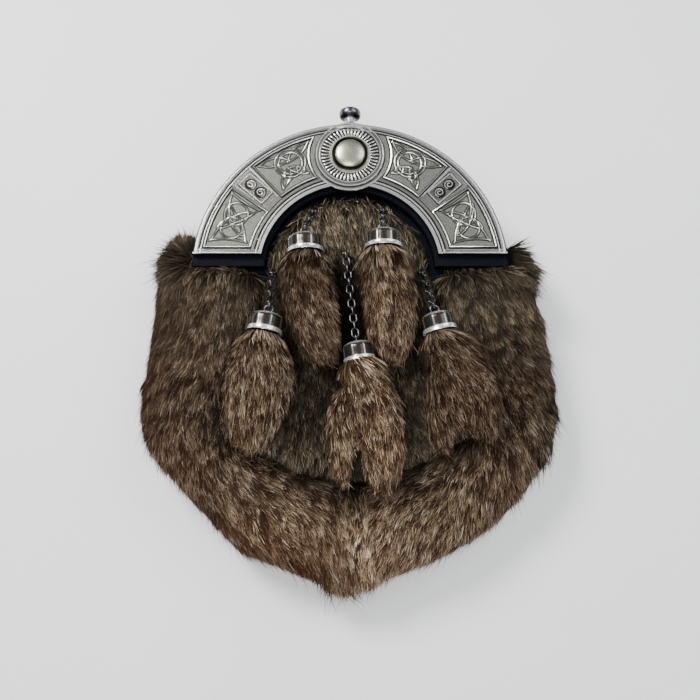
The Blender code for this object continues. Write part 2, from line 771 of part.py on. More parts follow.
# One lobe of a tassel, from its root to its tip: rings about a bent middle line, which leaves the
# cap straight, passes the belly and ends at the tip. It is flat where it lies on the fur below.
def lobe(root, start, belly, tip, root_r, half_width, depth, floor_z, sides):
    leave = root + start * LOBE_STRAIGHT
    bend = (belly * 8 - root - leave * 3 - tip) / 3
    made = []
    for j, row in enumerate(rows_by_name(LOBE_PROFILE_COLUMNS, LOBE_PROFILE)):
        t = row["along"]
        s = 1 - t
        centre = root * s**3 + leave * 3 * t * s**2 + bend * 3 * t**2 * s + tip * t**3
        along = (leave - root) * s**2 + (bend - leave) * 2 * t * s + (tip - bend) * t**2
        across = Vector((-along.y, along.x, 0)).normalized()
        if t == 1:
            made.append([tuple(centre)])
            continue
        width = root_r + (half_width - root_r) * row["part"]
        thick = root_r + (depth - root_r) * row["part"]
        ring = []
        for i in range(sides):
            angle = 2 * math.pi * i / sides
            lock = 1 + LOBE_LOCK * lock_height(j, i) * min(1.0, 4 * t)
            place = centre + across * math.cos(angle) * width * lock
            z = max(place.z + math.sin(angle) * thick * lock, floor_z)
            ring.append((place.x, place.y, z))
        made.append(ring)
    return loft(made)


def tassel_fur(number, row, fur):
    top = Vector((row["top_x"], row["top_y"], CAP_Z))
    rim = Vector((row["rim_x"], row["rim_y"], CAP_Z))
    start = (rim - top).normalized()
    root = rim - start * LOBE_TUCK
    root_r = row["cap_r"] * LOBE_ROOT_PART - LOBE_ROOT_CLEAR
    tip_z = TASSEL_FLOOR_Z + LOBE_TIP_RISE
    belly = Vector((row["belly_x"], row["belly_y"], TASSEL_FLOOR_Z + TASSEL_DEPTH - LOBE_BELLY_SINK))
    tip = Vector((row["tip_x"], row["tip_y"], tip_z))
    meshes = [lobe(root, start, belly, tip, root_r, row["half_width"],
                   TASSEL_DEPTH, TASSEL_FLOOR_Z, TASSEL_SIDES)]
    for other in rows_by_name(LOBE_COLUMNS, LOBES):
        if other["tassel"] != number:
            continue
        height = TASSEL_FLOOR_Z + other["half_width"]
        root, belly, tip = (Vector((other[end + "_x"], other[end + "_y"], height))
                            for end in ("root", "belly", "tip"))
        tip.z = tip_z
        meshes.append(lobe(root, (belly - root).normalized(), belly, tip, SIDE_LOBE_ROOT_R,
                           other["half_width"], other["half_width"] + SIDE_LOBE_DEPTH,
                           TASSEL_FLOOR_Z + GAP, TASSEL_SIDES - 2))
    mesh = fuse(meshes) if len(meshes) > 1 else meshes[0]
    return add_part(f"tassel_fur_{number}", mesh, fur, 30)


# ---- Caps, chains and staples ----


def link_count(row):
    start, end = chain_ends(row)
    return round(((end - start).length - 2 * LINK_WIRE_R) / LINK_LENGTH)


# The middle of the wire at the two ends of a chain: behind the staple's bar and inside the eye.
def chain_ends(row):
    bar = Vector((row["staple_x"], row["staple_y"], row["staple_z"] + STAPLE_HEIGHT))
    top = Vector((row["top_x"], row["top_y"], CAP_Z))
    rim = Vector((row["rim_x"], row["rim_y"], CAP_Z))
    eye = top + (top - rim).normalized() * (EYE_OUT + EYE_R)
    along = (eye - bar).normalized()
    return (
        bar - along * (LINK_WIRE_R + STAPLE_WIRE_R + LINK_CLEARANCE),
        eye + along * (LINK_WIRE_R + EYE_WIRE_R + LINK_CLEARANCE),
    )


# A ring of wire about the local Z axis.
def wire_ring(radius, wire_r):
    shape = bmesh.new()
    turn = Matrix.Rotation(math.pi / 2, 4, "X")
    bmesh.ops.create_circle(shape, segments=WIRE_SIDES, radius=wire_r, matrix=turn)
    bmesh.ops.translate(shape, verts=shape.verts, vec=(radius, 0, 0))
    bmesh.ops.spin(
        shape, geom=shape.verts[:] + shape.edges[:], axis=(0, 0, 1), cent=(0, 0, 0),
        angle=2 * math.pi, steps=LINK_STEPS, use_merge=True,
    )
    bmesh.ops.remove_doubles(shape, verts=shape.verts, dist=0.001)
    return shape


# A frame with its Z along one direction and its X along another.
def frame_at(place, x_axis, z_axis):
    y_axis = z_axis.cross(x_axis)
    turn = Matrix((x_axis, y_axis, z_axis)).transposed().to_4x4()
    return Matrix.Translation(place) @ turn


def chain(number, row, steel):
    start, end = chain_ends(row)
    count = link_count(row)
    span = (end - start).length
    inner = (span - 2 * LINK_WIRE_R - (count - 1) * LINK_OVERLAP) / count
    along = (end - start).normalized()
    level = along.cross(Vector((0, 0, 1))).normalized()
    upright = level.cross(along)
    end_r = LINK_WIDTH / 2 + LINK_WIRE_R
    sets = ([], [])
    for i in range(count):
        link = wire_ring(end_r, LINK_WIRE_R)
        for vert in link.verts:
            if abs(vert.co.x) > 0.01:
                vert.co.x += math.copysign((inner + 2 * LINK_WIRE_R) / 2 - end_r, vert.co.x)
        middle = start + along * (i * (inner + LINK_OVERLAP) + inner / 2 + LINK_WIRE_R)
        normal = level if i % 2 == 0 else upright
        link.transform(Matrix.Scale(MM, 4) @ frame_at(middle, along, normal))
        sets[i % 2].append(link)
    meshes = []
    for links in sets:
        joined = bmesh.new()
        for link in links:
            mesh = bpy.data.meshes.new("link")
            link.to_mesh(mesh)
            link.free()
            joined.from_mesh(mesh)
        meshes.append(as_mesh(joined, "links"))
    return add_part(f"chain_{number}", fuse(meshes), steel, 60)


# A cap like a small bell on its side, scalloped at the rim, with an eye for the last link.
def tassel_cap(number, row, polished):
    top = Vector((row["top_x"], row["top_y"], CAP_Z))
    rim = Vector((row["rim_x"], row["rim_y"], CAP_Z))
    axis = (rim - top).normalized()
    profile = [(bend["along"], bend["radius"] * row["cap_r"])
               for bend in rows_by_name(CAP_COLUMNS, CAP_PROFILE)]
    bell = loft(turned(profile, top, axis, CAP_SIDES, SCALLOP))
    ring = wire_ring(EYE_R, EYE_WIRE_R)
    side = axis.cross(Vector((0, 0, 1))).normalized()
    normal = Vector((0, 0, 1)) if link_count(row) % 2 else side
    ring.transform(Matrix.Scale(MM, 4) @ frame_at(top - axis * EYE_OUT, -axis, normal))
    return add_part(f"tassel_cap_{number}", fuse([bell, as_mesh(ring, "eye")]), polished, 40)


# The height at which a staple's two feet clear the bib below them.
def staple_seat(row, bib_surface):
    heights = []
    for side in (-1, 1):
        for foot_x, foot_y in ((0, 0), (-1, 0), (1, 0), (0, -1), (0, 1)):
            x = row["staple_x"] + side * STAPLE_HALF_SPAN + foot_x * STAPLE_WIRE_R
            y = row["staple_y"] + foot_y * STAPLE_WIRE_R
            above = Vector((x, y, CAP_Z)) * MM
            heights.append(bib_surface.ray_cast(above, Vector((0, 0, -1)))[0].z / MM)
    return max(heights) + GAP


# A bent wire whose two legs stand on the bib.
def chain_staple(number, row, steel):
    place = Vector((row["staple_x"], row["staple_y"]))
    foot_z = row["staple_z"]
    half, bend = STAPLE_HALF_SPAN, STAPLE_HALF_SPAN - STAPLE_BEND
    route = [(-half, 0.0), (-half, STAPLE_HEIGHT - STAPLE_BEND), (-bend, STAPLE_HEIGHT),
             (bend, STAPLE_HEIGHT), (half, STAPLE_HEIGHT - STAPLE_BEND), (half, 0.0)]
    rings = []
    for i, (x, z) in enumerate(route):
        before = Vector(route[max(i - 1, 0)])
        after = Vector(route[min(i + 1, len(route) - 1)])
        along = (after - before).normalized()
        out = Vector((-along.y, 0, along.x))
        ring = []
        for k in range(WIRE_SIDES):
            angle = 2 * math.pi * k / WIRE_SIDES
            offset = (out * math.cos(angle) + Vector((0, 1, 0)) * math.sin(angle)) * STAPLE_WIRE_R
            ring.append((place.x + x + offset.x, place.y + offset.y, foot_z + z + offset.z))
        rings.append(ring)
    return add_part(f"chain_staple_{number}", loft(rings), steel, 60)


def main():
    clear_scene()
    bpy.context.scene.unit_settings.scale_length = 1.0
    looks = {name: make_material(name) for name in COLOURS}
    pouch_shell(looks["leather"])
    back_panel(looks["leather"])
    belt_loop("belt_loop_left", -LOOP_X, looks["leather"])
    belt_loop("belt_loop_right", LOOP_X, looks["leather"])
    fur_coat(looks["fur"])
    bib = fur_bib(looks["bib_fur"])
    bib_surface = BVHTree.FromObject(bib, bpy.context.evaluated_depsgraph_get())
    cantle_pad(looks["leather"])
    cantle(looks["pewter"])
    centre_boss(looks["polished"])
    knob(looks["pewter"])
    for number, row in enumerate(rows_by_name(TASSEL_COLUMNS, TASSELS), start=1):
        row["staple_z"] = staple_seat(row, bib_surface)
        tassel_fur(number, row, looks["fur"])
        tassel_cap(number, row, looks["polished"])
        chain(number, row, looks["steel"])
        chain_staple(number, row, looks["steel"])


main()
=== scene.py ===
import itertools
import math

import bmesh
import bpy
import numpy as np
from mathutils import Matrix, Vector
from mathutils.bvhtree import BVHTree


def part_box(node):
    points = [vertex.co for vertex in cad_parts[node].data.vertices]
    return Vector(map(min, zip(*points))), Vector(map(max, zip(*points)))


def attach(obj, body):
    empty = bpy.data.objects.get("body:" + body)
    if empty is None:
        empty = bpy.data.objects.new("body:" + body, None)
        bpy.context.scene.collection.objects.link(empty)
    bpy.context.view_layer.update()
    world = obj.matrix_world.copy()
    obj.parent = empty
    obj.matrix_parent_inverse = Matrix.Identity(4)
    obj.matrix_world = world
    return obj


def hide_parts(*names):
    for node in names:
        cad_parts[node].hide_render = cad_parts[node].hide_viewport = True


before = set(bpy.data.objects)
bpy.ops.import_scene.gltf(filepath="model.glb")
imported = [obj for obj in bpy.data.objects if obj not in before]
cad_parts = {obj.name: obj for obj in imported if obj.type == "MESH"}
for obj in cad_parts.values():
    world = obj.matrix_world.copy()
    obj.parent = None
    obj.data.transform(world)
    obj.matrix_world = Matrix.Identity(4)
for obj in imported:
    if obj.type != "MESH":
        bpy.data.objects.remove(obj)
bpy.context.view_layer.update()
mm = 0.001
up = Vector((0, 0, 1))
arcY = 33.1  # Y of the middle of the cantle's half rings


# materials: an input is given as a value or as the output that feeds it

def addNode(tree, kind, inputs=None, **settings):
    node = tree.nodes.new("ShaderNode" + kind)
    for key, value in settings.items():
        setattr(node, key, value)
    for key, value in (inputs or {}).items():
        if isinstance(value, bpy.types.NodeSocket):
            tree.links.new(value, node.inputs[key])
        else:
            node.inputs[key].default_value = value
    return node


def objectSpace(tree):
    # places on the piece in millimetres
    where = addNode(tree, "TexCoord").outputs["Object"]
    return addNode(tree, "Mapping", {"Vector": where, "Scale": (1000.0,) * 3}).outputs[0]


def noise(tree, where, scale, detail=4.0, rough=0.55):
    inputs = {"Vector": where, "Scale": scale, "Detail": detail, "Roughness": rough}
    return addNode(tree, "TexNoise", inputs).outputs["Fac"]


def cells(tree, where, scale):
    return addNode(tree, "TexVoronoi", {"Vector": where, "Scale": scale}).outputs["Distance"]


def remap(tree, value, low, high, outLow=0.0, outHigh=1.0):
    inputs = {"Value": value, "From Min": low, "From Max": high, "To Min": outLow, "To Max": outHigh}
    return addNode(tree, "MapRange", inputs).outputs[0]


def blend(tree, factor, first, second):
    colours = [(*colour, 1) if isinstance(colour, tuple) else colour for colour in (first, second)]
    inputs = {"Factor": factor, "A": colours[0], "B": colours[1]}
    return addNode(tree, "Mix", inputs, data_type="RGBA").outputs["Result"]


def calculate(tree, operation, first, second):
    return addNode(tree, "Math", {0: first, 1: second}, operation=operation).outputs[0]


def painted(tree, name):
    return addNode(tree, "Attribute", attribute_name=name)


def startLook(name, **values):
    material = bpy.data.materials.new(name)
    material.use_nodes = True
    tree = material.node_tree
    shader = tree.nodes["Principled BSDF"]
    for socket, value in values.items():
        shader.inputs[socket.replace("_", " ")].default_value = value
    return material, tree, shader, objectSpace(tree)


def dress(tree, shader, colour, rough=None, height=None, depth=0.0, strength=1.0):
    # joins a look's colour, roughness and relief, whose depth is in millimetres, to its shader
    tree.links.new(colour, shader.inputs["Base Color"])
    if rough:
        tree.links.new(rough, shader.inputs["Roughness"])
    if height:
        bump = addNode(tree, "Bump", {"Height": height, "Distance": depth * mm, "Strength": strength})
        tree.links.new(bump.outputs[0], shader.inputs["Normal"])


def leatherLook():
    material, tree, shader, where = startLook("blackLeather", Specular_IOR_Level=0.03)
    pores = cells(tree, where, 1.35)
    blotch = noise(tree, where, 0.06, 3)
    creases = noise(tree, where, 0.5, 6, 0.65)
    tone = blend(tree, blotch, (0.0008, 0.0011, 0.002), (0.002, 0.0026, 0.0045))
    colour = blend(tree, remap(tree, pores, 0.25, 0.7), tone, (0.004, 0.005, 0.008))
    relief = calculate(tree, "ADD", pores, calculate(tree, "MULTIPLY", creases, 0.7))
    dress(tree, shader, colour, remap(tree, creases, 0.3, 0.7, 0.45, 0.65), relief, 0.09)
    return material


pewterLevels = {  # heights in millimetres between which one tone gives way to the next
    "tarnishAndShade": (38.15, 38.5), "flat": (38.62, 38.8), "crest": (38.98, 39.16), "smooth": (38.5, 38.8),
}
pewterColours = {
    "groundDark": (0.112, 0.124, 0.104), "groundLight": (0.192, 0.20, 0.176), "pits": (0.06, 0.064, 0.054),
    "flatDark": (0.19, 0.192, 0.168), "flatLight": (0.32, 0.305, 0.30), "crest": (0.70, 0.695, 0.68),
    "tarnishAndShade": (0.022, 0.022, 0.018),
}


def pewterLook():
    # dark in the recesses, stippled on the ground, bright on the crests; the dark below a set height is
    # tarnish in the grooves and painted shadow at the rim's outer edge
    levels, tones = pewterLevels, pewterColours
    material, tree, shader, where = startLook("castPewter", Metallic=1.0)
    height = addNode(tree, "SeparateXYZ", {0: where}).outputs["Z"]
    cloud = noise(tree, where, 0.05, 4)
    speckle = noise(tree, where, 1.6, 5, 0.7)
    stipple = cells(tree, where, 1.5)
    uneven = calculate(tree, "MULTIPLY", calculate(tree, "SUBTRACT", speckle, 0.5), 0.12)
    level = calculate(tree, "ADD", height, uneven)
    raised = remap(tree, level, *levels["flat"])
    ground = blend(tree, cloud, tones["groundDark"], tones["groundLight"])
    ground = blend(tree, remap(tree, stipple, 0.15, 0.55, 0.0, 0.75), tones["pits"], ground)
    colour = blend(tree, raised, ground, blend(tree, cloud, tones["flatDark"], tones["flatLight"]))
    colour = blend(tree, remap(tree, level, *levels["crest"]), colour, tones["crest"])
    tarnishAndShade = remap(tree, level, *levels["tarnishAndShade"], 1.0, 0.0)
    # the painted mask darkens patina in the sunk parts and adds painted shadow beside the raised lines
    dark = calculate(tree, "MAXIMUM", painted(tree, "patinaAndShade").outputs["Fac"], tarnishAndShade)
    grain = calculate(tree, "MULTIPLY", stipple, remap(tree, height, *levels["smooth"], 1.0, 0.1))
    relief = calculate(tree, "ADD", grain, calculate(tree, "MULTIPLY", speckle, 0.3))
    dress(tree, shader, blend(tree, dark, colour, tones["tarnishAndShade"]),
          remap(tree, raised, 0.0, 1.0, 0.5, 0.24), relief, 0.14)
    return material


def metalLook(name, dull, bright, roughness, metallic, darkened):
    material, tree, shader, where = startLook(name, Metallic=metallic)
    cloud = noise(tree, where, 0.18, 4)
    fine = noise(tree, where, 2.2, 5, 0.7)
    colour = blend(tree, cloud, dull, bright)
    if darkened:
        colour = blend(tree, painted(tree, "darkened").outputs["Fac"], colour, darkened)
    relief = calculate(tree, "ADD", cloud, calculate(tree, "MULTIPLY", fine, 0.12))
    rough = remap(tree, fine, 0.3, 0.7, roughness * 0.7, roughness * 1.3)
    dress(tree, shader, colour, rough, relief, 0.1, 0.6)
    return material


def furLook():
    material, tree, shader, where = startLook("rabbitFur", Roughness=0.6, Specular_IOR_Level=0.03,
                                              Sheen_Weight=0.01)
    streak = remap(tree, noise(tree, where, 0.9, 2), 0.3, 0.7, 0.0, 0.35)
    hair = painted(tree, "furColour").outputs["Color"]
    dress(tree, shader, blend(tree, streak, hair, (0.012, 0.007, 0.005)))
    return material


def hideLook():
    material, tree, shader, where = startLook("underfur", Roughness=0.9, Specular_IOR_Level=0.06)
    fuzz = noise(tree, where, 1.1, 5, 0.7)
    dress(tree, shader, blend(tree, fuzz, (0.003, 0.002, 0.0015), (0.014, 0.008, 0.005)), None, fuzz, 0.8)
    return material


def floorLook():
    material, tree, shader, where = startLook("paleCloth", Roughness=0.85, Specular_IOR_Level=0.2)
    soft = noise(tree, where, 0.006, 3)
    weave = noise(tree, where, 1.5, 3)
    relief = calculate(tree, "ADD", weave, calculate(tree, "MULTIPLY", soft, 8.0))
    dress(tree, shader, blend(tree, soft, floorPlan["shade"], floorPlan["colour"]), None, relief, 0.25, 0.5)
    return material


# camera, light and floor

cameraPlan = {"y": -96.0, "z": 408.8, "elevation": 77.0, "lens": 38.57, "sensor": 36.0}
lightRows = [  # name, where from in metres, size, power, colour
    ("keyLight", (-0.55, 0.58, 0.80), 0.42, 20.0, (1.0, 0.99, 0.97)),
    ("fillLight", (0.70, 0.50, 0.85), 0.8, 7.5, (0.96, 0.98, 1.0)),
    ("topLight", (-0.15, -0.45, 1.35), 0.8, 14.0, (1.0, 1.0, 1.0)),
]
worldPlan = {
    "low": (0.16, 0.17, 0.19), "high": (0.96, 0.98, 1.0), "from": -0.2, "to": 1.0, "strength": 0.58,
}
floorPlan = {"size": 6.0, "colour": (0.86, 0.865, 0.87), "shade": (0.76, 0.77, 0.78)}


def addObject(name, data):
    made = bpy.data.objects.new(name, data)
    bpy.context.scene.collection.objects.link(made)
    return made


def makeCamera():
    data = bpy.data.cameras.new("photoCamera")
    data.sensor_width, data.lens = cameraPlan["sensor"], cameraPlan["lens"]
    data.clip_start, data.clip_end = 0.01, 20.0
    camera = addObject("photoCamera", data)
    place = Matrix.Translation((0, cameraPlan["y"] * mm, cameraPlan["z"] * mm))
    camera.matrix_world = place @ Matrix.Rotation(math.radians(90 - cameraPlan["elevation"]), 4, "X")
    bpy.context.scene.camera = camera


def makeLights():
    for name, place, size, power, colour in lightRows:
        data = bpy.data.lights.new(name, "AREA")
        data.shape, data.size, data.energy, data.color = "DISK", size, power, colour
        turn = (-Vector(place)).to_track_quat("-Z", "Y").to_matrix().to_4x4()
        addObject(name, data).matrix_world = Matrix.Translation(place) @ turn
    world = bpy.data.worlds.new("studio")
    bpy.context.scene.world = world
    world.use_nodes = True
    tree = world.node_tree
    where = addNode(tree, "TexCoord").outputs["Generated"]
    height = addNode(tree, "SeparateXYZ", {0: where}).outputs["Z"]
    sky = blend(tree, remap(tree, height, worldPlan["from"], worldPlan["to"]), worldPlan["low"],
                worldPlan["high"])
    back = tree.nodes["Background"]
    back.inputs["Strength"].default_value = worldPlan["strength"]
    tree.links.new(sky, back.inputs["Color"])


def makeFloor():
    bm = bmesh.new()
    bmesh.ops.create_grid(bm, x_segments=2, y_segments=2, size=floorPlan["size"] / 2)
    mesh = bpy.data.meshes.new("floor")
    bm.to_mesh(mesh)
    bm.free()
    mesh.materials.append(floorLook())
    addObject("floor", mesh)


metalRows = (  # look, name, dull and bright colour, roughness, metallic, colour where the darkened mask is set
    ("boss", "polishedBoss", (0.29, 0.285, 0.21), (0.50, 0.495, 0.40), 0.3, 1.0, (0.03, 0.027, 0.021)),
    ("cap", "silverCap", (0.56, 0.555, 0.54), (0.82, 0.82, 0.81), 0.24, 0.8, (0.042, 0.034, 0.027)),
    ("knob", "turnedKnob", (0.50, 0.51, 0.53), (0.72, 0.73, 0.75), 0.28, 1.0, (0.10, 0.105, 0.115)),
    ("steel", "darkSteel", (0.025, 0.025, 0.027), (0.13, 0.13, 0.14), 0.26, 1.0, None),
)
looks = {"leather": leatherLook(), "pewter": pewterLook(), "fur": furLook(), "hide": hideLook()}
for look, *row in metalRows:
    looks[look] = metalLook(*row)
makeCamera()
makeLights()
makeFloor()
print("camera, lights, floor and materials made")


# small tools, which work in millimetres

def finishPiece(bm, node, suffix, look, smooth, merge=True):
    # places the piece for this node, named after it
    if merge:
        bmesh.ops.remove_doubles(bm, verts=bm.verts, dist=0.002)
        bmesh.ops.recalc_face_normals(bm, faces=bm.faces)
    mesh = bpy.data.meshes.new(f"{node}_{suffix}")
    bm.to_mesh(mesh)
    bm.free()
    mesh.transform(Matrix.Scale(mm, 4))
    mesh.shade_smooth()
    mesh.set_sharp_from_angle(angle=math.radians(smooth))
    return placePiece(mesh, f"{node}_{suffix}", look, (node,))


def placePiece(mesh, name, look, stands=()):
    mesh.materials.clear()
    mesh.materials.append(looks[look])
    piece = addObject(name, mesh)
    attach(piece, "root")
    if stands:
        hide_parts(*stands)
    return piece


def addTo(bm, other, patinaAndShade=None):
    if patinaAndShade is not None:
        layer = other.verts.layers.float.get("patinaAndShade") or other.verts.layers.float.new("patinaAndShade")
        for vert in other.verts:
            vert[layer] = patinaAndShade
    mesh = bpy.data.meshes.new("joined")
    other.to_mesh(mesh)
    other.free()
    bm.from_mesh(mesh)
    bpy.data.meshes.remove(mesh)


def polar(radius, degrees):
    # a place on a ring round the middle of the arch
    angle = math.radians(degrees)
    return Vector((radius * math.cos(angle), arcY + radius * math.sin(angle)))


def ramp(value, low, high):
    # 0 up to the first value, 1 from the second on
    return np.clip((value - low) / (high - low), 0, 1)


def openEdges(bm):
    return [edge for edge in bm.edges if edge.is_boundary]


def spun(profile, start=0.0, sweep=360.0, steps=96, centre=(0, 0, 0), closed=True):
    bm = bmesh.new()
    verts = [bm.verts.new((radius, 0, height)) for radius, height in profile]
    ends = zip(verts, verts[1:] + verts[:1]) if closed else zip(verts, verts[1:])
    edges = [bm.edges.new(pair) for pair in ends]
    bmesh.ops.rotate(bm, verts=verts, cent=(0, 0, 0), matrix=Matrix.Rotation(math.radians(start), 3, "Z"))
    whole = sweep >= 360
    bmesh.ops.spin(bm, geom=verts + edges, cent=(0, 0, 0), axis=(0, 0, 1), dvec=(0, 0, 0),
                   angle=math.radians(sweep), steps=steps, use_merge=whole, use_duplicate=False)
    bmesh.ops.remove_doubles(bm, verts=bm.verts, dist=0.001)
    if not whole:
        bmesh.ops.holes_fill(bm, edges=openEdges(bm), sides=0)
    bmesh.ops.recalc_face_normals(bm, faces=bm.faces)
    bmesh.ops.translate(bm, verts=bm.verts, vec=centre)
    return bm


def cutAway(bm, place, normal):
    bmesh.ops.bisect_plane(bm, geom=bm.verts[:] + bm.edges[:] + bm.faces[:], dist=0.001, plane_co=place,
                           plane_no=normal, clear_outer=True)
    bmesh.ops.holes_fill(bm, edges=openEdges(bm), sides=0)
    return bm


def wire(points, radius, closed=True, sides=8, flatten=1.0):
    curve = bpy.data.curves.new("wire", "CURVE")
    curve.dimensions = "3D"
    curve.bevel_depth = radius
    curve.bevel_resolution = max(sides // 2 - 2, 0)
    curve.use_fill_caps = True
    spline = curve.splines.new("POLY")
    spline.points.add(len(points) - 1)
    for point, place in zip(spline.points, points):
        point.co = (*place, 1)
    spline.use_cyclic_u = closed
    holder = bpy.data.objects.new("wire", curve)
    mesh = bpy.data.meshes.new_from_object(holder)
    bpy.data.objects.remove(holder)
    bpy.data.curves.remove(curve)
    bm = bmesh.new()
    bm.from_mesh(mesh)
    bpy.data.meshes.remove(mesh)
    bmesh.ops.remove_doubles(bm, verts=bm.verts, dist=0.001)
    if flatten != 1.0:
        level = sum(place[2] for place in points) / len(points)
        low = Matrix.Translation((0, 0, -level))
        bmesh.ops.scale(bm, verts=bm.verts, vec=(1, 1, flatten), space=low)
    return bm


def ring(radius, wireRadius, centre, steps=72, sides=10):
    turn = [2 * math.pi * i / sides for i in range(sides)]
    profile = [(radius + wireRadius * math.cos(a), wireRadius * math.sin(a)) for a in turn]
    return spun(profile, steps=steps, centre=centre)


def smoothLoop(points, closed=True, steps=8):
    count = len(points)
    places = [np.array(point, float) for point in points]
    made = []
    for i in range(count if closed else count - 1):
        before, start, end, after = (
            places[(i + k) % count] if closed else places[min(max(i + k, 0), count - 1)]
            for k in (-1, 0, 1, 2)
        )
        for step in range(steps):
            t = step / steps
            made.append(0.5 * (2 * start + (end - before) * t
                               + (2 * before - 5 * start + 4 * end - after) * t**2
                               + (3 * start - before - 3 * end + after) * t**3))
    if not closed:
        made.append(places[-1])
    return [Vector(place) for place in made]


def boxed(low, high):
    bm = bmesh.new()
    bmesh.ops.create_cube(bm, size=1)
    size, middle = [h - l for l, h in zip(low, high)], [(l + h) / 2 for l, h in zip(low, high)]
    bmesh.ops.scale(bm, verts=bm.verts, vec=size)
    bmesh.ops.translate(bm, verts=bm.verts, vec=middle)
    return bm


def softened(bm, width, segments=2, angle=30.0):
    sharp = [edge for edge in bm.edges if edge.is_manifold and edge.calc_face_angle() > math.radians(angle)]
    bmesh.ops.bevel(bm, geom=sharp, offset=width, offset_type="OFFSET", segments=segments, profile=0.5,
                    affect="EDGES", clamp_overlap=True, material=-1)
    return bm


def copyOfNode(node):
    bm = bmesh.new()
    bm.from_mesh(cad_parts[node].data)
    bmesh.ops.scale(bm, verts=bm.verts, vec=(1 / mm,) * 3)
    bmesh.ops.remove_doubles(bm, verts=bm.verts, dist=0.001)
    return bm


# leather

leatherPlan = {"edge": 0.55, "sharp": 50}
padPlan = {"outer": 83.2, "inner": 44.6, "endY": 35.2, "soft": 1.3, "crown": 7, "end": 0.9, "steps": 120}


def leatherPieces():
    for node in ("pouch_shell", "back_panel", "belt_loop_left", "belt_loop_right"):
        bm = copyOfNode(node)
        bmesh.ops.dissolve_limit(bm, angle_limit=math.radians(1), verts=bm.verts, edges=bm.edges)
        softened(bm, leatherPlan["edge"], 2, leatherPlan["sharp"])
        bmesh.ops.triangulate(bm, faces=[face for face in bm.faces if len(face.verts) > 4])
        finishPiece(bm, node, "leather", "leather", 40, merge=False)


def cantlePad():
    plan = padPlan
    low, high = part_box("cantle_pad")
    bottom, top = low.z / mm, high.z / mm
    outer, inner, soft, crown = plan["outer"], plan["inner"], plan["soft"], plan["crown"]
    profile = [(inner + soft, bottom), (outer - soft, bottom), (outer, bottom + soft), (outer, top - soft)]
    for middle, quarter in ((outer - soft, 0), (inner + soft, 1)):  # the rounded shoulders
        for i in range(crown + 1):
            a = math.pi / 2 * (quarter + i / crown)
            profile.append((middle + soft * math.cos(a), top - soft + soft * math.sin(a)))
    profile.append((inner, bottom + soft))
    cleaned = [point for i, point in enumerate(profile) if math.dist(point, profile[i - 1]) > 0.01]
    bm = spun(cleaned, 0.0, 180.0, plan["steps"], (0, arcY, 0))
    cutAway(bm, (0, plan["endY"], 0), (0, -1, 0))
    ends = [edge for edge in bm.edges if all(abs(vert.co.y - plan["endY"]) < 0.01 for vert in edge.verts)
            and edge.is_manifold and edge.calc_face_angle() > 1.0]
    bmesh.ops.bevel(bm, geom=ends, offset=plan["end"], offset_type="OFFSET", segments=3, profile=0.5,
                    affect="EDGES", clamp_overlap=True, material=-1)
    pad = finishPiece(bm, "cantle_pad", "leather", "leather", 50)


leatherPieces()
cantlePad()
print("leather made")


# cantle: rings and panels round (0, arcY), mirrored from side to side, with a roundel at (0, bossY)

cantlePlan = {
    "outer": 82.9, "inner": 46.8, "endY": 41.0, "under": 36.3, "bed": 37.6, "ground": 38.55, "bossY": 97.5,
    "steps": 132, "frameWire": 0.45, "frameShade": 1.1, "frameLift": 0.46, "strandWire": 0.42,
    "strandShade": 0.88, "weave": 0.2, "panelMiddle": 66.0,
}
# heights across the rims, from the inner or the outer edge: a dark edge, bright crests, bands and grooves;
# the low step at the outer edge lies under the tarnish height, as a painted shadow line along the rim
innerRim = (
    (0.0, 38.0), (0.05, 38.9), (0.2, 39.12), (2.0, 39.12), (2.15, 38.9), (2.2, 38.05), (2.5, 38.05),
    (2.55, 38.95), (2.75, 39.4), (3.5, 39.4), (3.75, 38.95), (3.8, 38.1), (4.5, 38.1), (4.6, 38.9),
    (6.0, 38.9), (6.05, 38.1), (6.3, 38.1),
)
outerRim = (
    (0.0, 37.6), (0.1, 38.0), (0.9, 38.05), (0.95, 39.05), (1.15, 39.4), (2.0, 39.4), (2.3, 39.05),
    (3.0, 39.0), (3.1, 38.05), (3.75, 38.05), (3.8, 38.95), (4.0, 39.3), (4.5, 39.3), (4.65, 38.9),
    (4.7, 38.3), (5.0, 38.3), (5.05, 38.55),
)
rimSweeps = ((slice(0, 6), 77.6), (slice(6, None), 75.6))  # these stop where the roundel begins
endGroove = {"near": 47.3, "far": 82.0, "lowY": 41.05, "highY": 44.4, "top": 38.62}
endBars = (  # from, to, top, inset
    (0.05, 0.95, 39.45, -0.2), (1.15, 2.5, 38.9, 1.0), (2.0, 2.5, 39.2, 1.4),
)
plates = (  # inner radius, outer radius, low angle, high angle, top
    (53.2, 58.4, 36.4, 46.6, 38.85), (75.6, 79.2, 36.4, 46.6, 38.85), (58.0, 75.8, 45.6, 46.6, 38.85),
    (58.0, 75.8, 36.4, 37.6, 38.85), (55.0, 78.2, 46.0, 46.6, 39.3),
)
blockPlan = {
    "radius": 67.2, "angle": 41.6, "floor": 38.88, "barTop": 39.3, "shade": 3.3, "spiralAt": 3.45,
    "spiralSteps": 43, "spiralFrom": 0.5, "spiralGrows": 2.1, "spiralWire": 0.36, "turns": 1.6,
}
blockBeds = ((9.0, 4.9, 38.88, 1.0), (7.8, 3.8, 38.92, 0.3))  # half length, half width, top, and how dark it is painted, as patina and shade
blockBars = (((-8.6, -4.6), (8.6, -3.8)), ((-8.6, 3.8), (8.6, 4.6)), ((-8.6, -4.4), (-7.8, 4.4)),
             ((7.8, -4.4), (8.6, 4.4)))


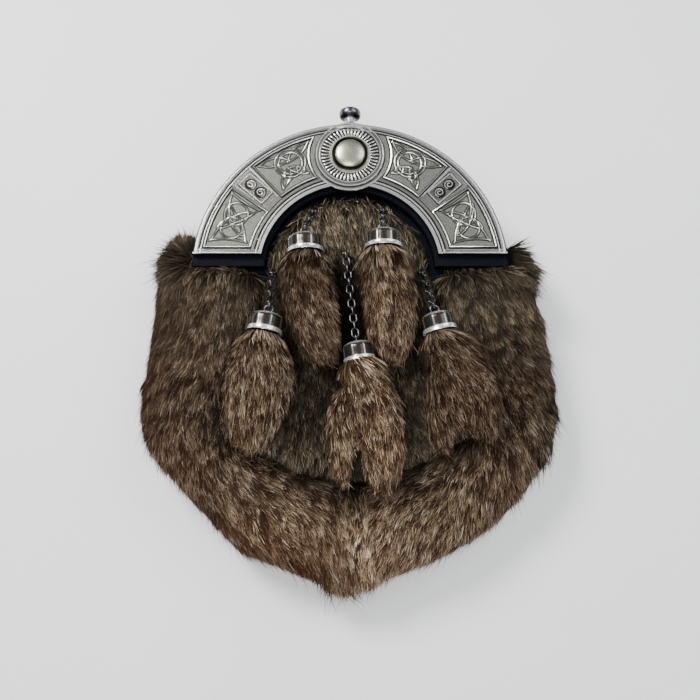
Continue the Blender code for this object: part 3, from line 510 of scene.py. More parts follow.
def cantleBody():
    plan = cantlePlan
    inner, outer, under = plan["inner"], plan["outer"], plan["under"]
    ends = ((0, plan["endY"], 0), (0, -1, 0))
    profile = [(inner, under), (inner, 38.0), (inner + 6.3, 38.0), (inner + 6.4, plan["ground"])]
    profile += [(outer - across, height) for across, height in reversed(outerRim)]
    profile += [(outer, under + 0.25), (outer - 0.25, under)]
    bm = cutAway(spun(profile, 0.0, 180.0, plan["steps"], (0, arcY, 0)), *ends)
    rim = [(inner + across, height) for across, height in innerRim]
    for part, sweep in rimSweeps:
        bead = [(rim[part][0][0], 37.5)] + rim[part] + [(rim[part][-1][0], 37.5)]
        for turn in (0.0, 180.0 - sweep):
            addTo(bm, cutAway(spun(bead, turn, sweep, 60, (0, arcY, 0)), *ends))
    bm.verts.layers.float.new("patinaAndShade")
    near, far, lowY, highY, top = endGroove.values()
    for side in (-1, 1):
        xs = sorted((side * near, side * far))
        addTo(bm, boxed((xs[0], lowY, plan["bed"]), (xs[1], highY, top)), 1.0)
        for start, end, level, inset in endBars:
            xs = sorted((side * (near + inset), side * (far - inset * 0.8)))
            bar = boxed((xs[0], plan["endY"] + start, 37.8), (xs[1], plan["endY"] + end, level))
            addTo(bm, softened(bar, 0.2, 1))
    return bm


def arcPoints(radius, start, end, steps):
    return [polar(radius, start + (end - start) * i / steps) for i in range(steps + 1)]


def sectorPlate(side, innerR, outerR, lowAngle, highAngle, bottom, top):
    outline = arcPoints(innerR, lowAngle, highAngle, 6) + arcPoints(outerR, highAngle, lowAngle, 6)
    bm = bmesh.new()
    face = bm.faces.new([bm.verts.new((side * place.x, place.y, bottom)) for place in outline])
    raised = bmesh.ops.extrude_face_region(bm, geom=[face])["geom"]
    bmesh.ops.translate(bm, verts=[item for item in raised if isinstance(item, bmesh.types.BMVert)],
                        vec=(0, 0, top - bottom))
    bmesh.ops.recalc_face_normals(bm, faces=bm.faces)
    return bm


def panelPoint(side, out, along, turn):
    # a place in a panel, in millimetres outwards and along from its middle, which lies at this angle
    middle = cantlePlan["panelMiddle"]
    place = polar(middle + out, turn + math.degrees(along / middle))
    return np.array((side * place.x, place.y))


def crossingsOf(curves):
    found = []
    for a, p in enumerate(curves):
        for b in range(a, len(curves)):
            q = curves[b]
            dp, dq = np.roll(p, -1, 0) - p, np.roll(q, -1, 0) - q
            gap = q[None] - p[:, None]
            bottom = dp[:, None, 0] * dq[None, :, 1] - dp[:, None, 1] * dq[None, :, 0]
            bottom = np.where(abs(bottom) < 1e-12, 1e-12, bottom)
            t = (gap[..., 0] * dq[None, :, 1] - gap[..., 1] * dq[None, :, 0]) / bottom
            s = (gap[..., 0] * dp[:, None, 1] - gap[..., 1] * dp[:, None, 0]) / bottom
            for i, j in zip(*np.nonzero((t >= 0) & (t < 1) & (s >= 0) & (s < 1))):
                if a != b or (j > i + 1 and not (i == 0 and j == len(p) - 1)):
                    found.append(((a, i + t[i, j]), (b, j + s[i, j])))
    return found


def weaveHeights(curves, lift):
    order = {k: [] for k in range(len(curves))}
    for number, ends in enumerate(crossingsOf(curves)):
        for which, (k, spot) in enumerate(ends):
            order[k].append((spot, number, which))
    over = {}
    heights = []
    for k, curve in enumerate(curves):  # over and under by turns along each strand
        passes = sorted(order[k])
        known = [over[number][which] * (-1) ** index for index, (_, number, which) in enumerate(passes)
                 if number in over]
        phase = known[0] if known else 1
        marks = []
        for index, (spot, number, which) in enumerate(passes):
            state = over[number][which] if number in over else phase * (-1) ** index
            over.setdefault(number, {which: state, 1 - which: -state})
            marks.append((spot, state))
        count = len(curve)
        if not marks:
            heights.append(np.zeros(count))
            continue
        spots = np.array([marks[-1][0] - count] + [mark[0] for mark in marks] + [marks[0][0] + count])
        states = np.array([marks[-1][1]] + [mark[1] for mark in marks] + [marks[0][1]], float)
        heights.append(lift * np.interp(np.arange(count), spots, states))
    return heights


def raisedLine(bm, points, lift, shade, thick, patinaAndShade=None):
    # a closed raised strand over a flat dark band, painted as its shadow
    ground = cantlePlan["ground"]
    addTo(bm, wire([(x, y, ground) for x, y in points], shade, sides=6, flatten=0.05), 1.0)
    addTo(bm, wire([(x, y, ground + z) for (x, y), z in zip(points, lift)], thick, sides=8), patinaAndShade)


def addKnot(bm, side, turn, strands):
    plan = cantlePlan
    curves = [np.array([panelPoint(side, *spot, turn) for spot in strand]) for strand in strands]
    for curve, lift in zip(curves, weaveHeights(curves, plan["weave"])):
        raisedLine(bm, curve, lift, plan["strandShade"], plan["strandWire"], 0.1)


def ovalLoop(middle, halfLong, halfWide, degrees=0.0, count=60):
    tilt = math.radians(degrees)
    points = []
    for i in range(count):
        angle = 2 * math.pi * i / count
        long, wide = halfLong * math.cos(angle), halfWide * math.sin(angle)
        points.append((middle[0] + long * math.cos(tilt) - wide * math.sin(tilt),
                       middle[1] + long * math.sin(tilt) + wide * math.cos(tilt)))
    return points


def leafLoop(first, second, halfWide):
    # a long loop that is sharp at both ends
    start, end = Vector(first), Vector(second)
    aside = (end - start).orthogonal().normalized() * halfWide
    route = []
    for here, there, turn in ((start, end, 1), (end, start, -1)):
        route += [here, here]
        for share, swell in ((0.25, 0.75), (0.5, 1), (0.75, 0.75)):
            route.append(here.lerp(there, share) + aside * swell * turn)
    return smoothLoop(route, steps=8)


def triangleLoop(first, second, lobe):
    # sharp at the first two corners and round at the third
    a, b, c = (Vector(place) for place in (first, second, lobe))
    middle = (a + b + c) / 3
    bowed = []
    for p, q, bulge in ((a, b, -0.15), (b, c, 0.3), (c, a, 0.3)):
        half = p.lerp(q, 0.5)
        bowed.append(half + (half - middle) * bulge)
    return smoothLoop([a, a, bowed[0], b, b, bowed[1], c, bowed[2]], steps=8)


# the knots: places are millimetres outwards and along from the middle of the panel
knotAngles = {"lower": 23.0, "upper": 61.5}
lowerTriangles = (((9.4, 12.4), (-8.0, 12.4), (0.6, -0.6)), ((8.4, -12.4), (-9.2, -9.4), (0.2, 3.4)))
lowerOvals = (((1.2, 4.2), 6.2, 6.2), ((0.2, -3.8), 5.8, 5.8), ((0.8, 0.4), 9.8, 2.1, 42.0),
              ((0.6, 1.2), 9.8, 2.1, -48.0))
upperLeaves = (((9.4, -13.4), (3.2, 0.4), 2.5), ((9.4, 12.4), (2.6, -0.8), 2.2),
               ((-7.8, 6.8), (-0.6, -2.0), 1.8), ((-9.0, -11.6), (-0.8, -1.2), 2.0))
upperOvals = (((1.6, 0.2), 8.1, 8.1), ((1.4, 0.2), 6.2, 6.2), ((-4.8, -4.8), 2.1, 2.1),
              ((-4.2, 3.6), 2.1, 2.1))
leafRibs = {"leaves": 2, "shares": (0.22, 0.32, 0.42, 0.52), "wide": 0.3, "wire": 0.28}
panelFrames = {  # inner and outer radius, angle beside the block, then where the panel ends
    "lower": (53.7, 77.3, 35.4, 44.9, None), "upper": (54.2, 77.3, 47.8, None, 22.4),
}


def panelKnots(bm, side):
    ovals = [[ovalLoop(*oval) for oval in rows] for rows in (lowerOvals, upperOvals)]
    addKnot(bm, side, knotAngles["lower"], [triangleLoop(*row) for row in lowerTriangles] + ovals[0])
    addKnot(bm, side, knotAngles["upper"], [leafLoop(*leaf) for leaf in upperLeaves] + ovals[1])
    for first, second, halfWide in upperLeaves[:leafRibs["leaves"]]:
        start, end = Vector(first), Vector(second)
        aside = (end - start).orthogonal().normalized() * leafRibs["wide"] * halfWide
        for share in leafRibs["shares"]:
            spots = [start.lerp(end, share) + aside * turn for turn in (-1, 0, 1)]
            rib = [(*panelPoint(side, *spot, knotAngles["upper"]), cantlePlan["ground"]) for spot in spots]
            addTo(bm, wire(rib, leafRibs["wire"], closed=False, sides=6), 0.1)


def spiralBlock(bm, side):
    # the sunk plate between the panels, with two spirals in a frame
    plan = blockPlan
    middle = polar(plan["radius"], plan["angle"])
    turn = math.radians(plan["angle"] if side > 0 else 180 - plan["angle"])
    place = Matrix.Translation((side * middle.x, middle.y, 0)) @ Matrix.Rotation(turn, 4, "Z")
    for halfLong, halfWide, top, patinaAndShade in blockBeds:
        sunk = boxed((-halfLong, -halfWide, 38.0), (halfLong, halfWide, top))
        sunk.transform(place)
        addTo(bm, sunk, patinaAndShade)
    for low, high in blockBars:
        bar = softened(boxed((*low, 38.2), (*high, plan["barTop"])), 0.18, 1)
        bar.transform(place)
        addTo(bm, bar)
    for along in (-plan["spiralAt"], plan["spiralAt"]):
        # a flat dark disc under each spiral: painted shadow
        shade = spun([(0.0, 0.0), (plan["shade"], 0.0), (plan["shade"], 0.06), (0.0, 0.06)], steps=36)
        shade.transform(place @ Matrix.Translation((along, 0, plan["floor"])))
        addTo(bm, shade, 1.0)
        spiral = []
        for i in range(plan["spiralSteps"] + 1):
            t = i / plan["spiralSteps"]
            angle = t * plan["turns"] * 2 * math.pi
            reach = plan["spiralFrom"] + plan["spiralGrows"] * t
            spot = (along + reach * math.cos(angle), reach * math.sin(angle) * side, plan["floor"] + 0.07)
            spiral.append(place @ Vector(spot))
        addTo(bm, wire(spiral, plan["spiralWire"], closed=False, sides=6))


def cantleSide(bm, side):
    plan = cantlePlan
    for *sector, top in plates:
        addTo(bm, softened(sectorPlate(side, *sector, plan["bed"], top), 0.15, 1))
    spiralBlock(bm, side)
    for row in panelFrames.values():
        points = [(side * place.x, place.y) for place in panelFrame(*row)]
        raisedLine(bm, points, [plan["frameLift"]] * len(points), plan["frameShade"], plan["frameWire"])
    panelKnots(bm, side)


def panelFrame(innerR, outerR, barAngle, endY, roundel):
    # the outline of a panel from the block to the cantle's end, or else to the roundel
    arc = []
    if endY is not None:
        ends = [math.degrees(math.asin((endY - arcY) / radius)) for radius in (innerR, outerR)]
    else:
        bossY = cantlePlan["bossY"]
        drop = bossY - arcY
        ends = []
        for radius in (innerR, outerR):
            meetY = (drop**2 + radius**2 - roundel**2) / (2 * drop)
            ends.append(math.degrees(math.atan2(meetY, math.sqrt(radius**2 - meetY**2))))
        first, last = polar(innerR, ends[0]), polar(outerR, ends[1])
        turns = [math.atan2(place.y - bossY, place.x) for place in (first, last)]
        angles = [turns[0] + (turns[1] - turns[0]) * i / 10 for i in range(1, 10)]
        arc = [Vector((roundel * math.cos(angle), bossY + roundel * math.sin(angle))) for angle in angles]
    return arcPoints(innerR, barAngle, ends[0], 16) + arc + arcPoints(outerR, ends[1], barAngle, 16)


# the bulge that hangs into the arch, cut off above the place where the rings begin, and the rings
bulgeEdge = ((0.0, 36.3), (21.2, 36.3), (21.2, 38.0), (21.1, 39.2), (20.85, 39.45), (20.2, 39.45),
             (19.95, 38.87), (19.2, 38.87), (19.15, 38.1), (18.7, 38.1), (0.0, 38.1))
roundelRings = (  # profile, and how dark it is painted, as patina and shade
    (((15.4, 37.8), (18.6, 37.8), (18.6, 39.2), (18.4, 39.5), (17.9, 39.5), (17.7, 38.9), (16.6, 38.9),
      (16.4, 39.45), (15.95, 39.45), (15.75, 38.9), (15.4, 38.3)), 0.0),
    (((10.3, 37.8), (11.2, 37.8), (11.2, 39.3), (11.0, 39.55), (10.5, 39.55), (10.3, 39.3)), 0.0),
    (((0.0, 37.8), (19.1, 37.8), (19.1, 38.62), (0.0, 38.62)), 1.0),
)
reedPlan = {"count": 46, "low": (11.3, -0.42, 38.2), "high": (15.3, 0.42, 39.1)}


def roundel(bm):
    centre = (0, cantlePlan["bossY"], 0)
    addTo(bm, cutAway(spun(bulgeEdge, centre=centre), (0, 86.0, 0), (0, 1, 0)))
    for profile, patinaAndShade in roundelRings:
        addTo(bm, spun(profile, centre=centre), patinaAndShade)
    count, low, high = reedPlan.values()
    for i in range(count):
        reed = softened(boxed(low, high), 0.2, 2)
        for vert in reed.verts:  # each reed widens outwards
            vert.co.y *= 0.8 + 0.32 * (vert.co.x - low[0]) / (high[0] - low[0])
        turn = Matrix.Rotation(2 * math.pi * i / count, 4, "Z")
        reed.transform(Matrix.Translation(centre) @ turn)
        addTo(bm, reed)


def makeCantle():
    bm = cantleBody()
    for side in (-1, 1):
        cantleSide(bm, side)
    roundel(bm)
    finishPiece(bm, "cantle", "cast", "pewter", 38, merge=False)


makeCantle()
print("cantle made")


# boss and knob

bossPlan = {"dome": 8.2, "domeFrom": 40.0, "domeTop": 42.2, "domeSteps": 14, "domeBow": 0.9,
            "grooveTo": 10.0}
bossEdge = (
    (0.0, 38.5), (10.25, 38.5), (10.25, 39.6), (10.1, 39.9), (9.8, 40.05), (9.45, 40.0), (9.2, 39.6),
    (8.85, 39.3), (8.5, 39.5), (8.3, 39.9),
)
knobPlan = {"z": 33.1, "startY": 116.6, "topY": 126.9}
knobRows = (  # along, radius: the collar, the stem and the head
    (0.0, 3.3), (0.7, 3.35), (1.0, 3.0), (1.3, 2.85), (4.6, 2.8), (5.2, 2.75), (5.5, 3.4), (5.7, 4.6),
    (6.0, 5.4), (6.5, 5.8), (7.2, 5.9), (9.0, 5.9), (9.6, 5.7), (10.0, 5.2), (10.2, 4.5), (10.25, 3.0),
)


def makeBoss():
    plan = bossPlan
    profile = list(bossEdge)
    rise = plan["domeTop"] - plan["domeFrom"]
    for i in range(plan["domeSteps"] + 1):
        angle = math.pi / 2 * i / plan["domeSteps"]
        out, lift = (value ** plan["domeBow"] for value in (math.cos(angle), math.sin(angle)))
        profile.append((plan["dome"] * out, plan["domeFrom"] + rise * lift))
    bm = spun(profile, steps=96, closed=False)
    darkened = bm.verts.layers.float.new("darkened")
    for vert in bm.verts:
        if plan["dome"] - 0.1 < vert.co.xy.length < plan["grooveTo"]:
            vert[darkened] = 1.0
    bmesh.ops.translate(bm, verts=bm.verts, vec=(0, cantlePlan["bossY"], 0))
    finishPiece(bm, "centre_boss", "polished", "boss", 50)


def makeKnob():
    plan = knobPlan
    length = plan["topY"] - plan["startY"]
    scale = length / knobRows[-1][0]
    profile = [(0.0, 0.0)] + [(radius, along * scale) for along, radius in knobRows] + [(0.0, length)]
    bm = spun(profile, steps=64, closed=False)
    # the head is darker than the stem, except a band near its top
    darkened = bm.verts.layers.float.new("darkened")
    for vert in bm.verts:
        along = vert.co.z / scale
        vert[darkened] = ramp(along, 5.2, 5.5) * (0.0 if 9.1 < along < 9.9 else 1.0)
    turn = Matrix.Rotation(-math.pi / 2, 4, "X")
    bm.transform(Matrix.Translation((0, plan["startY"], plan["z"])) @ turn)
    finishPiece(bm, "knob", "turned", "knob", 40)


makeBoss()
makeKnob()
print("boss and knob made")


# tassel caps, chains and staples

tasselColumns = (
    "capRadius", "topX", "topY", "rimX", "rimY", "bellyX", "bellyY", "tipX", "tipY", "stapleX", "stapleY",
    "tone",
)
tasselRows = (
    (9.4, -22.9, 47.8, -22.5, 37.6, -20.4, 13.0, -9.0, -19.0, -19.4, 66.0, 0.68),
    (9.7, 17.0, 50.0, 17.1, 39.8, 20.0, 13.0, 18.0, -18.0, 17.6, 66.0, 0.95),
    (8.8, -40.7, 6.3, -42.4, -4.2, -44.5, -30.0, -52.0, -62.0, -40.4, 31.5, 1.0),
    (8.0, 3.2, -8.6, 4.5, -16.6, 13.8, -47.0, 12.0, -82.0, -2.4, 41.0, 1.3),
    (8.5, 42.4, 6.3, 44.6, -3.6, 56.5, -28.0, 62.0, -56.0, 37.4, 31.5, 0.7),
)
tassels = [dict(zip(tasselColumns, row)) for row in tasselRows]
capPlan = {"z": 49.2, "panels": 8, "panelDepth": 0.018, "panelEnd": 8.3, "rib": 0.72, "eye": 2.1,
           "eyeWire": 0.55, "eyeOut": 1.4}
capRows = (  # along, share of the radius: outside from the top to the rim, then back inside
    (0.0, 0.0), (0.05, 0.18), (0.2, 0.34), (0.55, 0.55), (1.0, 0.70), (1.5, 0.80), (2.05, 0.875),
    (2.6, 0.925), (3.2, 0.955), (4.0, 0.965), (6.0, 0.965), (8.0, 0.965), (8.3, 0.965), (8.45, 0.985),
    (8.6, 0.99), (8.8, 0.985), (9.2, 0.99), (9.8, 1.005), (10.4, 1.03), (10.6, 1.02), (10.6, 0.99),
    (10.0, 0.95), (9.0, 0.91), (7.5, 0.87), (4.5, 0.82), (2.2, 0.55), (1.6, 0.0),
)
chainPlan = {"wire": 0.475, "length": 4.1, "width": 2.3, "overlap": 0.2, "clear": 0.45, "steps": 26,
             "sides": 10}
staplePlan = {"wire": 0.5, "half": 1.8, "height": 2.4, "bend": 0.7}


def tasselEnds(row):
    top = Vector((row["topX"], row["topY"], capPlan["z"]))
    rim = Vector((row["rimX"], row["rimY"], capPlan["z"]))
    return top, rim, (rim - top).normalized()


def axesAt(place, xAxis, zAxis):
    turn = Matrix((xAxis, zAxis.cross(xAxis), zAxis)).transposed().to_4x4()
    return Matrix.Translation(place) @ turn


def makeCap(number, row):
    plan = capPlan
    top, _, axis = tasselEnds(row)
    profile = [(part * row["capRadius"], along) for along, part in capRows]
    bm = spun(profile, steps=160, closed=False)
    # the sunk panels, a little less on the ribs, are painted dark: a painted reflection of the dark fur and
    # room round the cap
    darkened = bm.verts.layers.float.new("darkened")
    for vert in bm.verts:
        radius = math.hypot(vert.co.x, vert.co.y)
        if radius < 0.01:
            continue
        angle = math.atan2(vert.co.y, vert.co.x)
        outside = radius > 0.84 * row["capRadius"]
        end = plan["panelEnd"]
        rise = ramp(vert.co.z, 1.6, 2.2) * (1 - ramp(vert.co.z, end - 0.1, end + 0.1))
        sunk = ramp(abs(math.cos(angle * plan["panels"] / 2)), 0.16, 0.36)
        if outside and rise > 0:
            vert[darkened] = rise * (plan["rib"] + (1 - plan["rib"]) * sunk)
            pull = 1 - plan["panelDepth"] * sunk * rise
            vert.co.x *= pull
            vert.co.y *= pull
    side = axis.cross(up).normalized()
    bm.transform(axesAt(top, side, axis))
    finishPiece(bm, f"tassel_cap_{number}", "silver", "cap", 40)


def chainEnds(number, row):
    plan = chainPlan
    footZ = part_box(f"chain_staple_{number}")[0].z / mm
    bar = Vector((row["stapleX"], row["stapleY"], footZ + staplePlan["height"]))
    top, _, axis = tasselEnds(row)
    eye = top - axis * (capPlan["eyeOut"] + capPlan["eye"])
    along = (eye - bar).normalized()
    return (bar - along * (plan["wire"] + staplePlan["wire"] + plan["clear"]),
            eye + along * (plan["wire"] + capPlan["eyeWire"] + plan["clear"]))


def makeChain(number, row):
    plan = chainPlan
    start, end = chainEnds(number, row)
    reach = (end - start).length - 2 * plan["wire"]
    count = round(reach / plan["length"])
    inner = (reach - (count - 1) * plan["overlap"]) / count
    along = (end - start).normalized()
    level = along.cross(up).normalized()
    upright = level.cross(along)
    endRadius = plan["width"] / 2 + plan["wire"]
    chain = bmesh.new()
    for i in range(count):
        link = ring(endRadius, plan["wire"], (0, 0, 0), plan["steps"], plan["sides"])
        stretch = (inner + 2 * plan["wire"]) / 2 - endRadius
        for vert in link.verts:
            if abs(vert.co.x) > 0.01:
                vert.co.x += math.copysign(stretch, vert.co.x)
        middle = start + along * (i * (inner + plan["overlap"]) + inner / 2 + plan["wire"])
        link.transform(axesAt(middle, along, level if i % 2 == 0 else upright))
        addTo(chain, link)
    top, _, axis = tasselEnds(row)
    normal = up if count % 2 else axis.cross(up).normalized()
    eye = ring(capPlan["eye"], capPlan["eyeWire"], (0, 0, 0), 36, 10)
    eye.transform(axesAt(top - axis * capPlan["eyeOut"], -axis, normal))
    addTo(chain, eye)
    finishPiece(chain, f"chain_{number}", "links", "steel", 60, merge=False)


def makeStaple(number, row):
    plan = staplePlan
    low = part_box(f"chain_staple_{number}")[0].z / mm
    half, height, bend = plan["half"], plan["height"], plan["bend"]
    leg = [(half, 0.0), (half, height - bend)]
    for a in (0.4, 0.8, 1.2):
        leg.append((half - bend * (1 - math.cos(a)), height - bend + bend * math.sin(a)))
    leg.append((half - bend, height))
    route = [(-x, z) for x, z in leg] + leg[::-1]
    points = [(row["stapleX"] + x, row["stapleY"], low + z) for x, z in route]
    staple = wire(points, plan["wire"], closed=False, sides=12)
    finishPiece(staple, f"chain_staple_{number}", "wire", "steel", 60)


for number, row in enumerate(tassels, start=1):
    makeCap(number, row)
    makeChain(number, row)
    makeStaple(number, row)
print("caps, chains and staples made")


# fur

furColours = {  # linear colours along a hair, and the rarer tips; the near-black roots are partly the fur's dark base and partly painted shade deep in the fur
    "root": (0.003, 0.0017, 0.0011), "dark": (0.006, 0.0034, 0.0022), "brown": (0.075, 0.050, 0.030),
    "tan": (0.36, 0.27, 0.175), "cream": (0.70, 0.60, 0.47), "black": (0.006, 0.004, 0.003),
    "red": (0.11, 0.038, 0.018), "grey": (0.10, 0.10, 0.072),
}
hairPlan = {  # what all the fur shares; guard hairs are the few long ones
    "width": 0.54, "taper": 0.85, "rise": 1.0, "middle": (0.55, 0.78), "floor": 0.1, "smallTuft": 1.25,
    "pullBig": 0.25, "pullSmall": 0.8, "stray": 0.1, "swirl": 0.18, "guardLength": (1.15, 1.62),
    "guardRise": 1.25, "guardWidth": 0.7, "inOneMesh": 64000, "flip": lambda root: 0.0,
    "longer": lambda root: 1.0, "stand": lambda root: 1.0,
}


def hashed(cell, salt):
    # an even number from 0 to 1 for every cell, the same at every run
    mixed = (cell[:, 0] * 73856093) ^ (cell[:, 1] * 19349663) ^ (cell[:, 2] * 83492791)
    mixed = (mixed ^ (salt * 2654435761)) & 0xFFFFFFFF
    for shift, factor in ((15, 2246822519), (13, 3266489917)):
        mixed = ((mixed ^ (mixed >> shift)) * factor) & 0xFFFFFFFF
    return ((mixed ^ (mixed >> 16)) & 0xFFFFFF) / float(0xFFFFFF)


def tufts(points, size, salt):
    # the nearest tuft of every point: its middle, how far it is off, and its own number
    base = np.floor(points / size).astype(np.int64)
    best = np.full(len(points), 1e9)
    centre = np.zeros_like(points)
    identity = np.zeros(len(points))
    for step in itertools.product((-1, 0, 1), repeat=3):
        cell = base + step
        place = (cell + np.stack([hashed(cell, salt + k) for k in (1, 2, 3)], 1)) * size
        far = np.linalg.norm(place - points, axis=1)
        near = far < best
        best[near] = far[near]
        centre[near] = place[near]
        identity[near] = hashed(cell[near], salt + 9)
    return centre, best / size, identity


def waves(points, size, salt):
    # slow swells from -1 to 1
    total = np.zeros(len(points))
    for k in range(4):
        turn = hashed(np.array([[k, salt, 7]]), 3)[0] * math.pi
        way = np.array([math.cos(turn), math.sin(turn), 0.35 * math.cos(turn * 3)])
        total += np.sin(points @ way * (2 * math.pi / (size * (1 + 0.37 * k))) + 2.1 * k + salt)
    return total / 4


def unit(vectors):
    return vectors / (np.linalg.norm(vectors, axis=1)[:, None] + 1e-12)


def hideOf(node, deep, smoothing, centre=None, aside=None):
    # the fur solid sunk by the depth of its hair
    bm = copyOfNode(node)
    for _ in range(smoothing):
        bmesh.ops.smooth_vert(bm, verts=bm.verts, factor=0.5, use_axis_x=True, use_axis_y=True,
                              use_axis_z=True)
    bmesh.ops.recalc_face_normals(bm, faces=bm.faces)
    bm.normal_update()
    tree = BVHTree.FromBMesh(bm)
    layer = bm.verts.layers.float.new("depth")
    moves = []
    for vert in bm.verts:
        hit = tree.ray_cast(vert.co - vert.normal * 0.05, -vert.normal)
        depth = min(hit[3] * 0.3 if hit[0] is not None else deep, deep)
        inwards = -vert.normal
        if centre is not None:  # only the top and the outer side sink, so no gap opens beside other pieces
            outwards = (vert.co - Vector(centre)).xy.normalized()
            sideways = -outwards * max(vert.normal.xy.dot(outwards), 0) * aside(vert.co)
            inwards = Vector((*sideways, -max(vert.normal.z, 0)))
        moves.append(inwards * depth)
        vert[layer] = depth
    for vert, move in zip(bm.verts, moves):
        vert.co += move
    bmesh.ops.triangulate(bm, faces=bm.faces)
    bmesh.ops.subdivide_edges(bm, edges=bm.edges, cuts=1, use_grid_fill=True, smooth=0.3)
    for vert in bm.verts:
        vert.co.z = max(vert.co.z, 0.02)
    return bm


def settled(bm):
    # puts the faces of a spun form in an order that is the same at every run
    bm.verts.index_update()
    faces = []
    for face in bm.faces:
        corners = [vert.index for vert in face.verts]
        first = corners.index(min(corners))
        faces.append(corners[first:] + corners[:first])
    mesh = bpy.data.meshes.new("settled")
    mesh.from_pydata([vert.co for vert in bm.verts], [], sorted(faces))
    bm.clear()
    bm.from_mesh(mesh)
    bpy.data.meshes.remove(mesh)
    return bm


def collarOf(row):
    # fills the cap's mouth with fur, as wide as the cap, and runs out inside the tassel
    rim, axis = tasselEnds(row)[1:]
    profile = [(part * row["capRadius"], along) for along, part in collarRows]
    bm = settled(spun(profile, steps=40, closed=False))
    bm.transform(axesAt(rim, axis.cross(up).normalized(), axis))
    layer = bm.verts.layers.float.new("depth")
    for vert in bm.verts:
        vert[layer] = 1.6
    return bm


def skinOf(bm):
    bmesh.ops.triangulate(bm, faces=bm.faces)
    bm.normal_update()
    bm.verts.index_update()
    layer = bm.verts.layers.float.get("depth")
    return {
        "places": np.array([vert.co for vert in bm.verts]),
        "normals": np.array([vert.normal for vert in bm.verts]),
        "depth": np.array([vert[layer] for vert in bm.verts]),
        "corners": np.array([[vert.index for vert in face.verts] for face in bm.faces]),
    }


def growFur(name, skin, plan, flow, tint, allowed, seed):
    # every hair is a ribbon of two roots, two points at its middle and a tip, drawn towards its tufts
    rng = np.random.default_rng(seed)
    places, corners = skin["places"], skin["corners"]
    a, b, c = (places[corners[:, k]] for k in range(3))
    cross = np.cross(b - a, c - a)
    area = np.linalg.norm(cross, axis=1) / 2
    faceNormal = unit(cross)
    weight = area * allowed((a + b + c) / 3, faceNormal)
    count = plan["count"]
    chosen = rng.choice(len(area), size=count, p=weight / weight.sum())
    r1, r2 = np.sqrt(rng.random(count)), rng.random(count)
    parts = np.stack([1 - r1, r1 * (1 - r2), r1 * r2], 1)
    tri = corners[chosen]
    root = (places[tri] * parts[:, :, None]).sum(1)
    normal = unit((skin["normals"][tri] * parts[:, :, None]).sum(1))
    depth = (skin["depth"][tri] * parts).sum(1)
    bigCentre, bigFar, bigName = tufts(root, plan["bigTuft"], seed)
    smallCentre, smallFar, smallName = tufts(root, plan["smallTuft"], seed + 40)
    way = flow(root, normal)
    swirl = plan["swirl"] * waves(root, 17.0, seed) + rng.normal(0, plan["stray"], count)
    swirl += (smallName - 0.5) * plan["unruly"] + (bigName - 0.5) * 0.35
    way = unit(way - normal * (way * normal).sum(1)[:, None])
    across = np.cross(normal, way)
    way = unit(way * np.cos(swirl)[:, None] + across * np.sin(swirl)[:, None])
    flip = rng.random(count) < plan["flip"](root)
    way = np.where(flip[:, None], -way + unit(across) * rng.normal(0, 0.3, count)[:, None], way)
    across = np.cross(normal, way)
    guard = rng.random(count) < plan["guard"]
    length = plan["length"] * (0.86 + 0.28 * bigName) * rng.uniform(0.8, 1.15, count)
    length *= np.where(guard, rng.uniform(*plan["guardLength"], count), 1)
    length *= plan["longer"](root) * np.where(flip, 0.5, 1)
    rise = depth * plan["rise"] * (1.12 - 0.55 * bigFar) * rng.uniform(0.75, 1.15, count)
    rise = np.minimum(rise, length * 0.8) * np.where(guard, plan["guardRise"], 1) * plan["stand"](root)
    run = np.sqrt(np.maximum(length**2 - rise**2, 1.0))
    width = plan["width"] * rng.uniform(0.7, 1.2, count) * np.where(guard, plan["guardWidth"], 1)
    roll = rng.normal(0, 0.45, count)
    sideways = unit(across * np.cos(roll)[:, None] + normal * np.sin(roll)[:, None]) * width[:, None] / 2
    pull = (bigCentre - root) * plan["pullBig"] + (smallCentre - root) * plan["pullSmall"]
    pull -= normal * (pull * normal).sum(1)[:, None]
    bend = rng.normal(0, 0.06, count) * run
    partWay, partRise = plan["middle"]
    middle = root + way * (run * partWay)[:, None] + normal * (rise * partRise)[:, None] + pull * 0.5
    middle += across * bend[:, None]
    tip = root + way * run[:, None] + normal * rise[:, None] + pull
    narrow = sideways * plan["taper"]
    points = np.stack([root - sideways, root + sideways, middle - narrow, middle + narrow, tip], 1)
    points[:, :, 2] = np.maximum(points[:, :, 2], plan["floor"])
    colour = hairColours(rng, root, tint, (bigFar, bigName, smallFar, smallName), plan)
    buildHairs(name, points, colour)


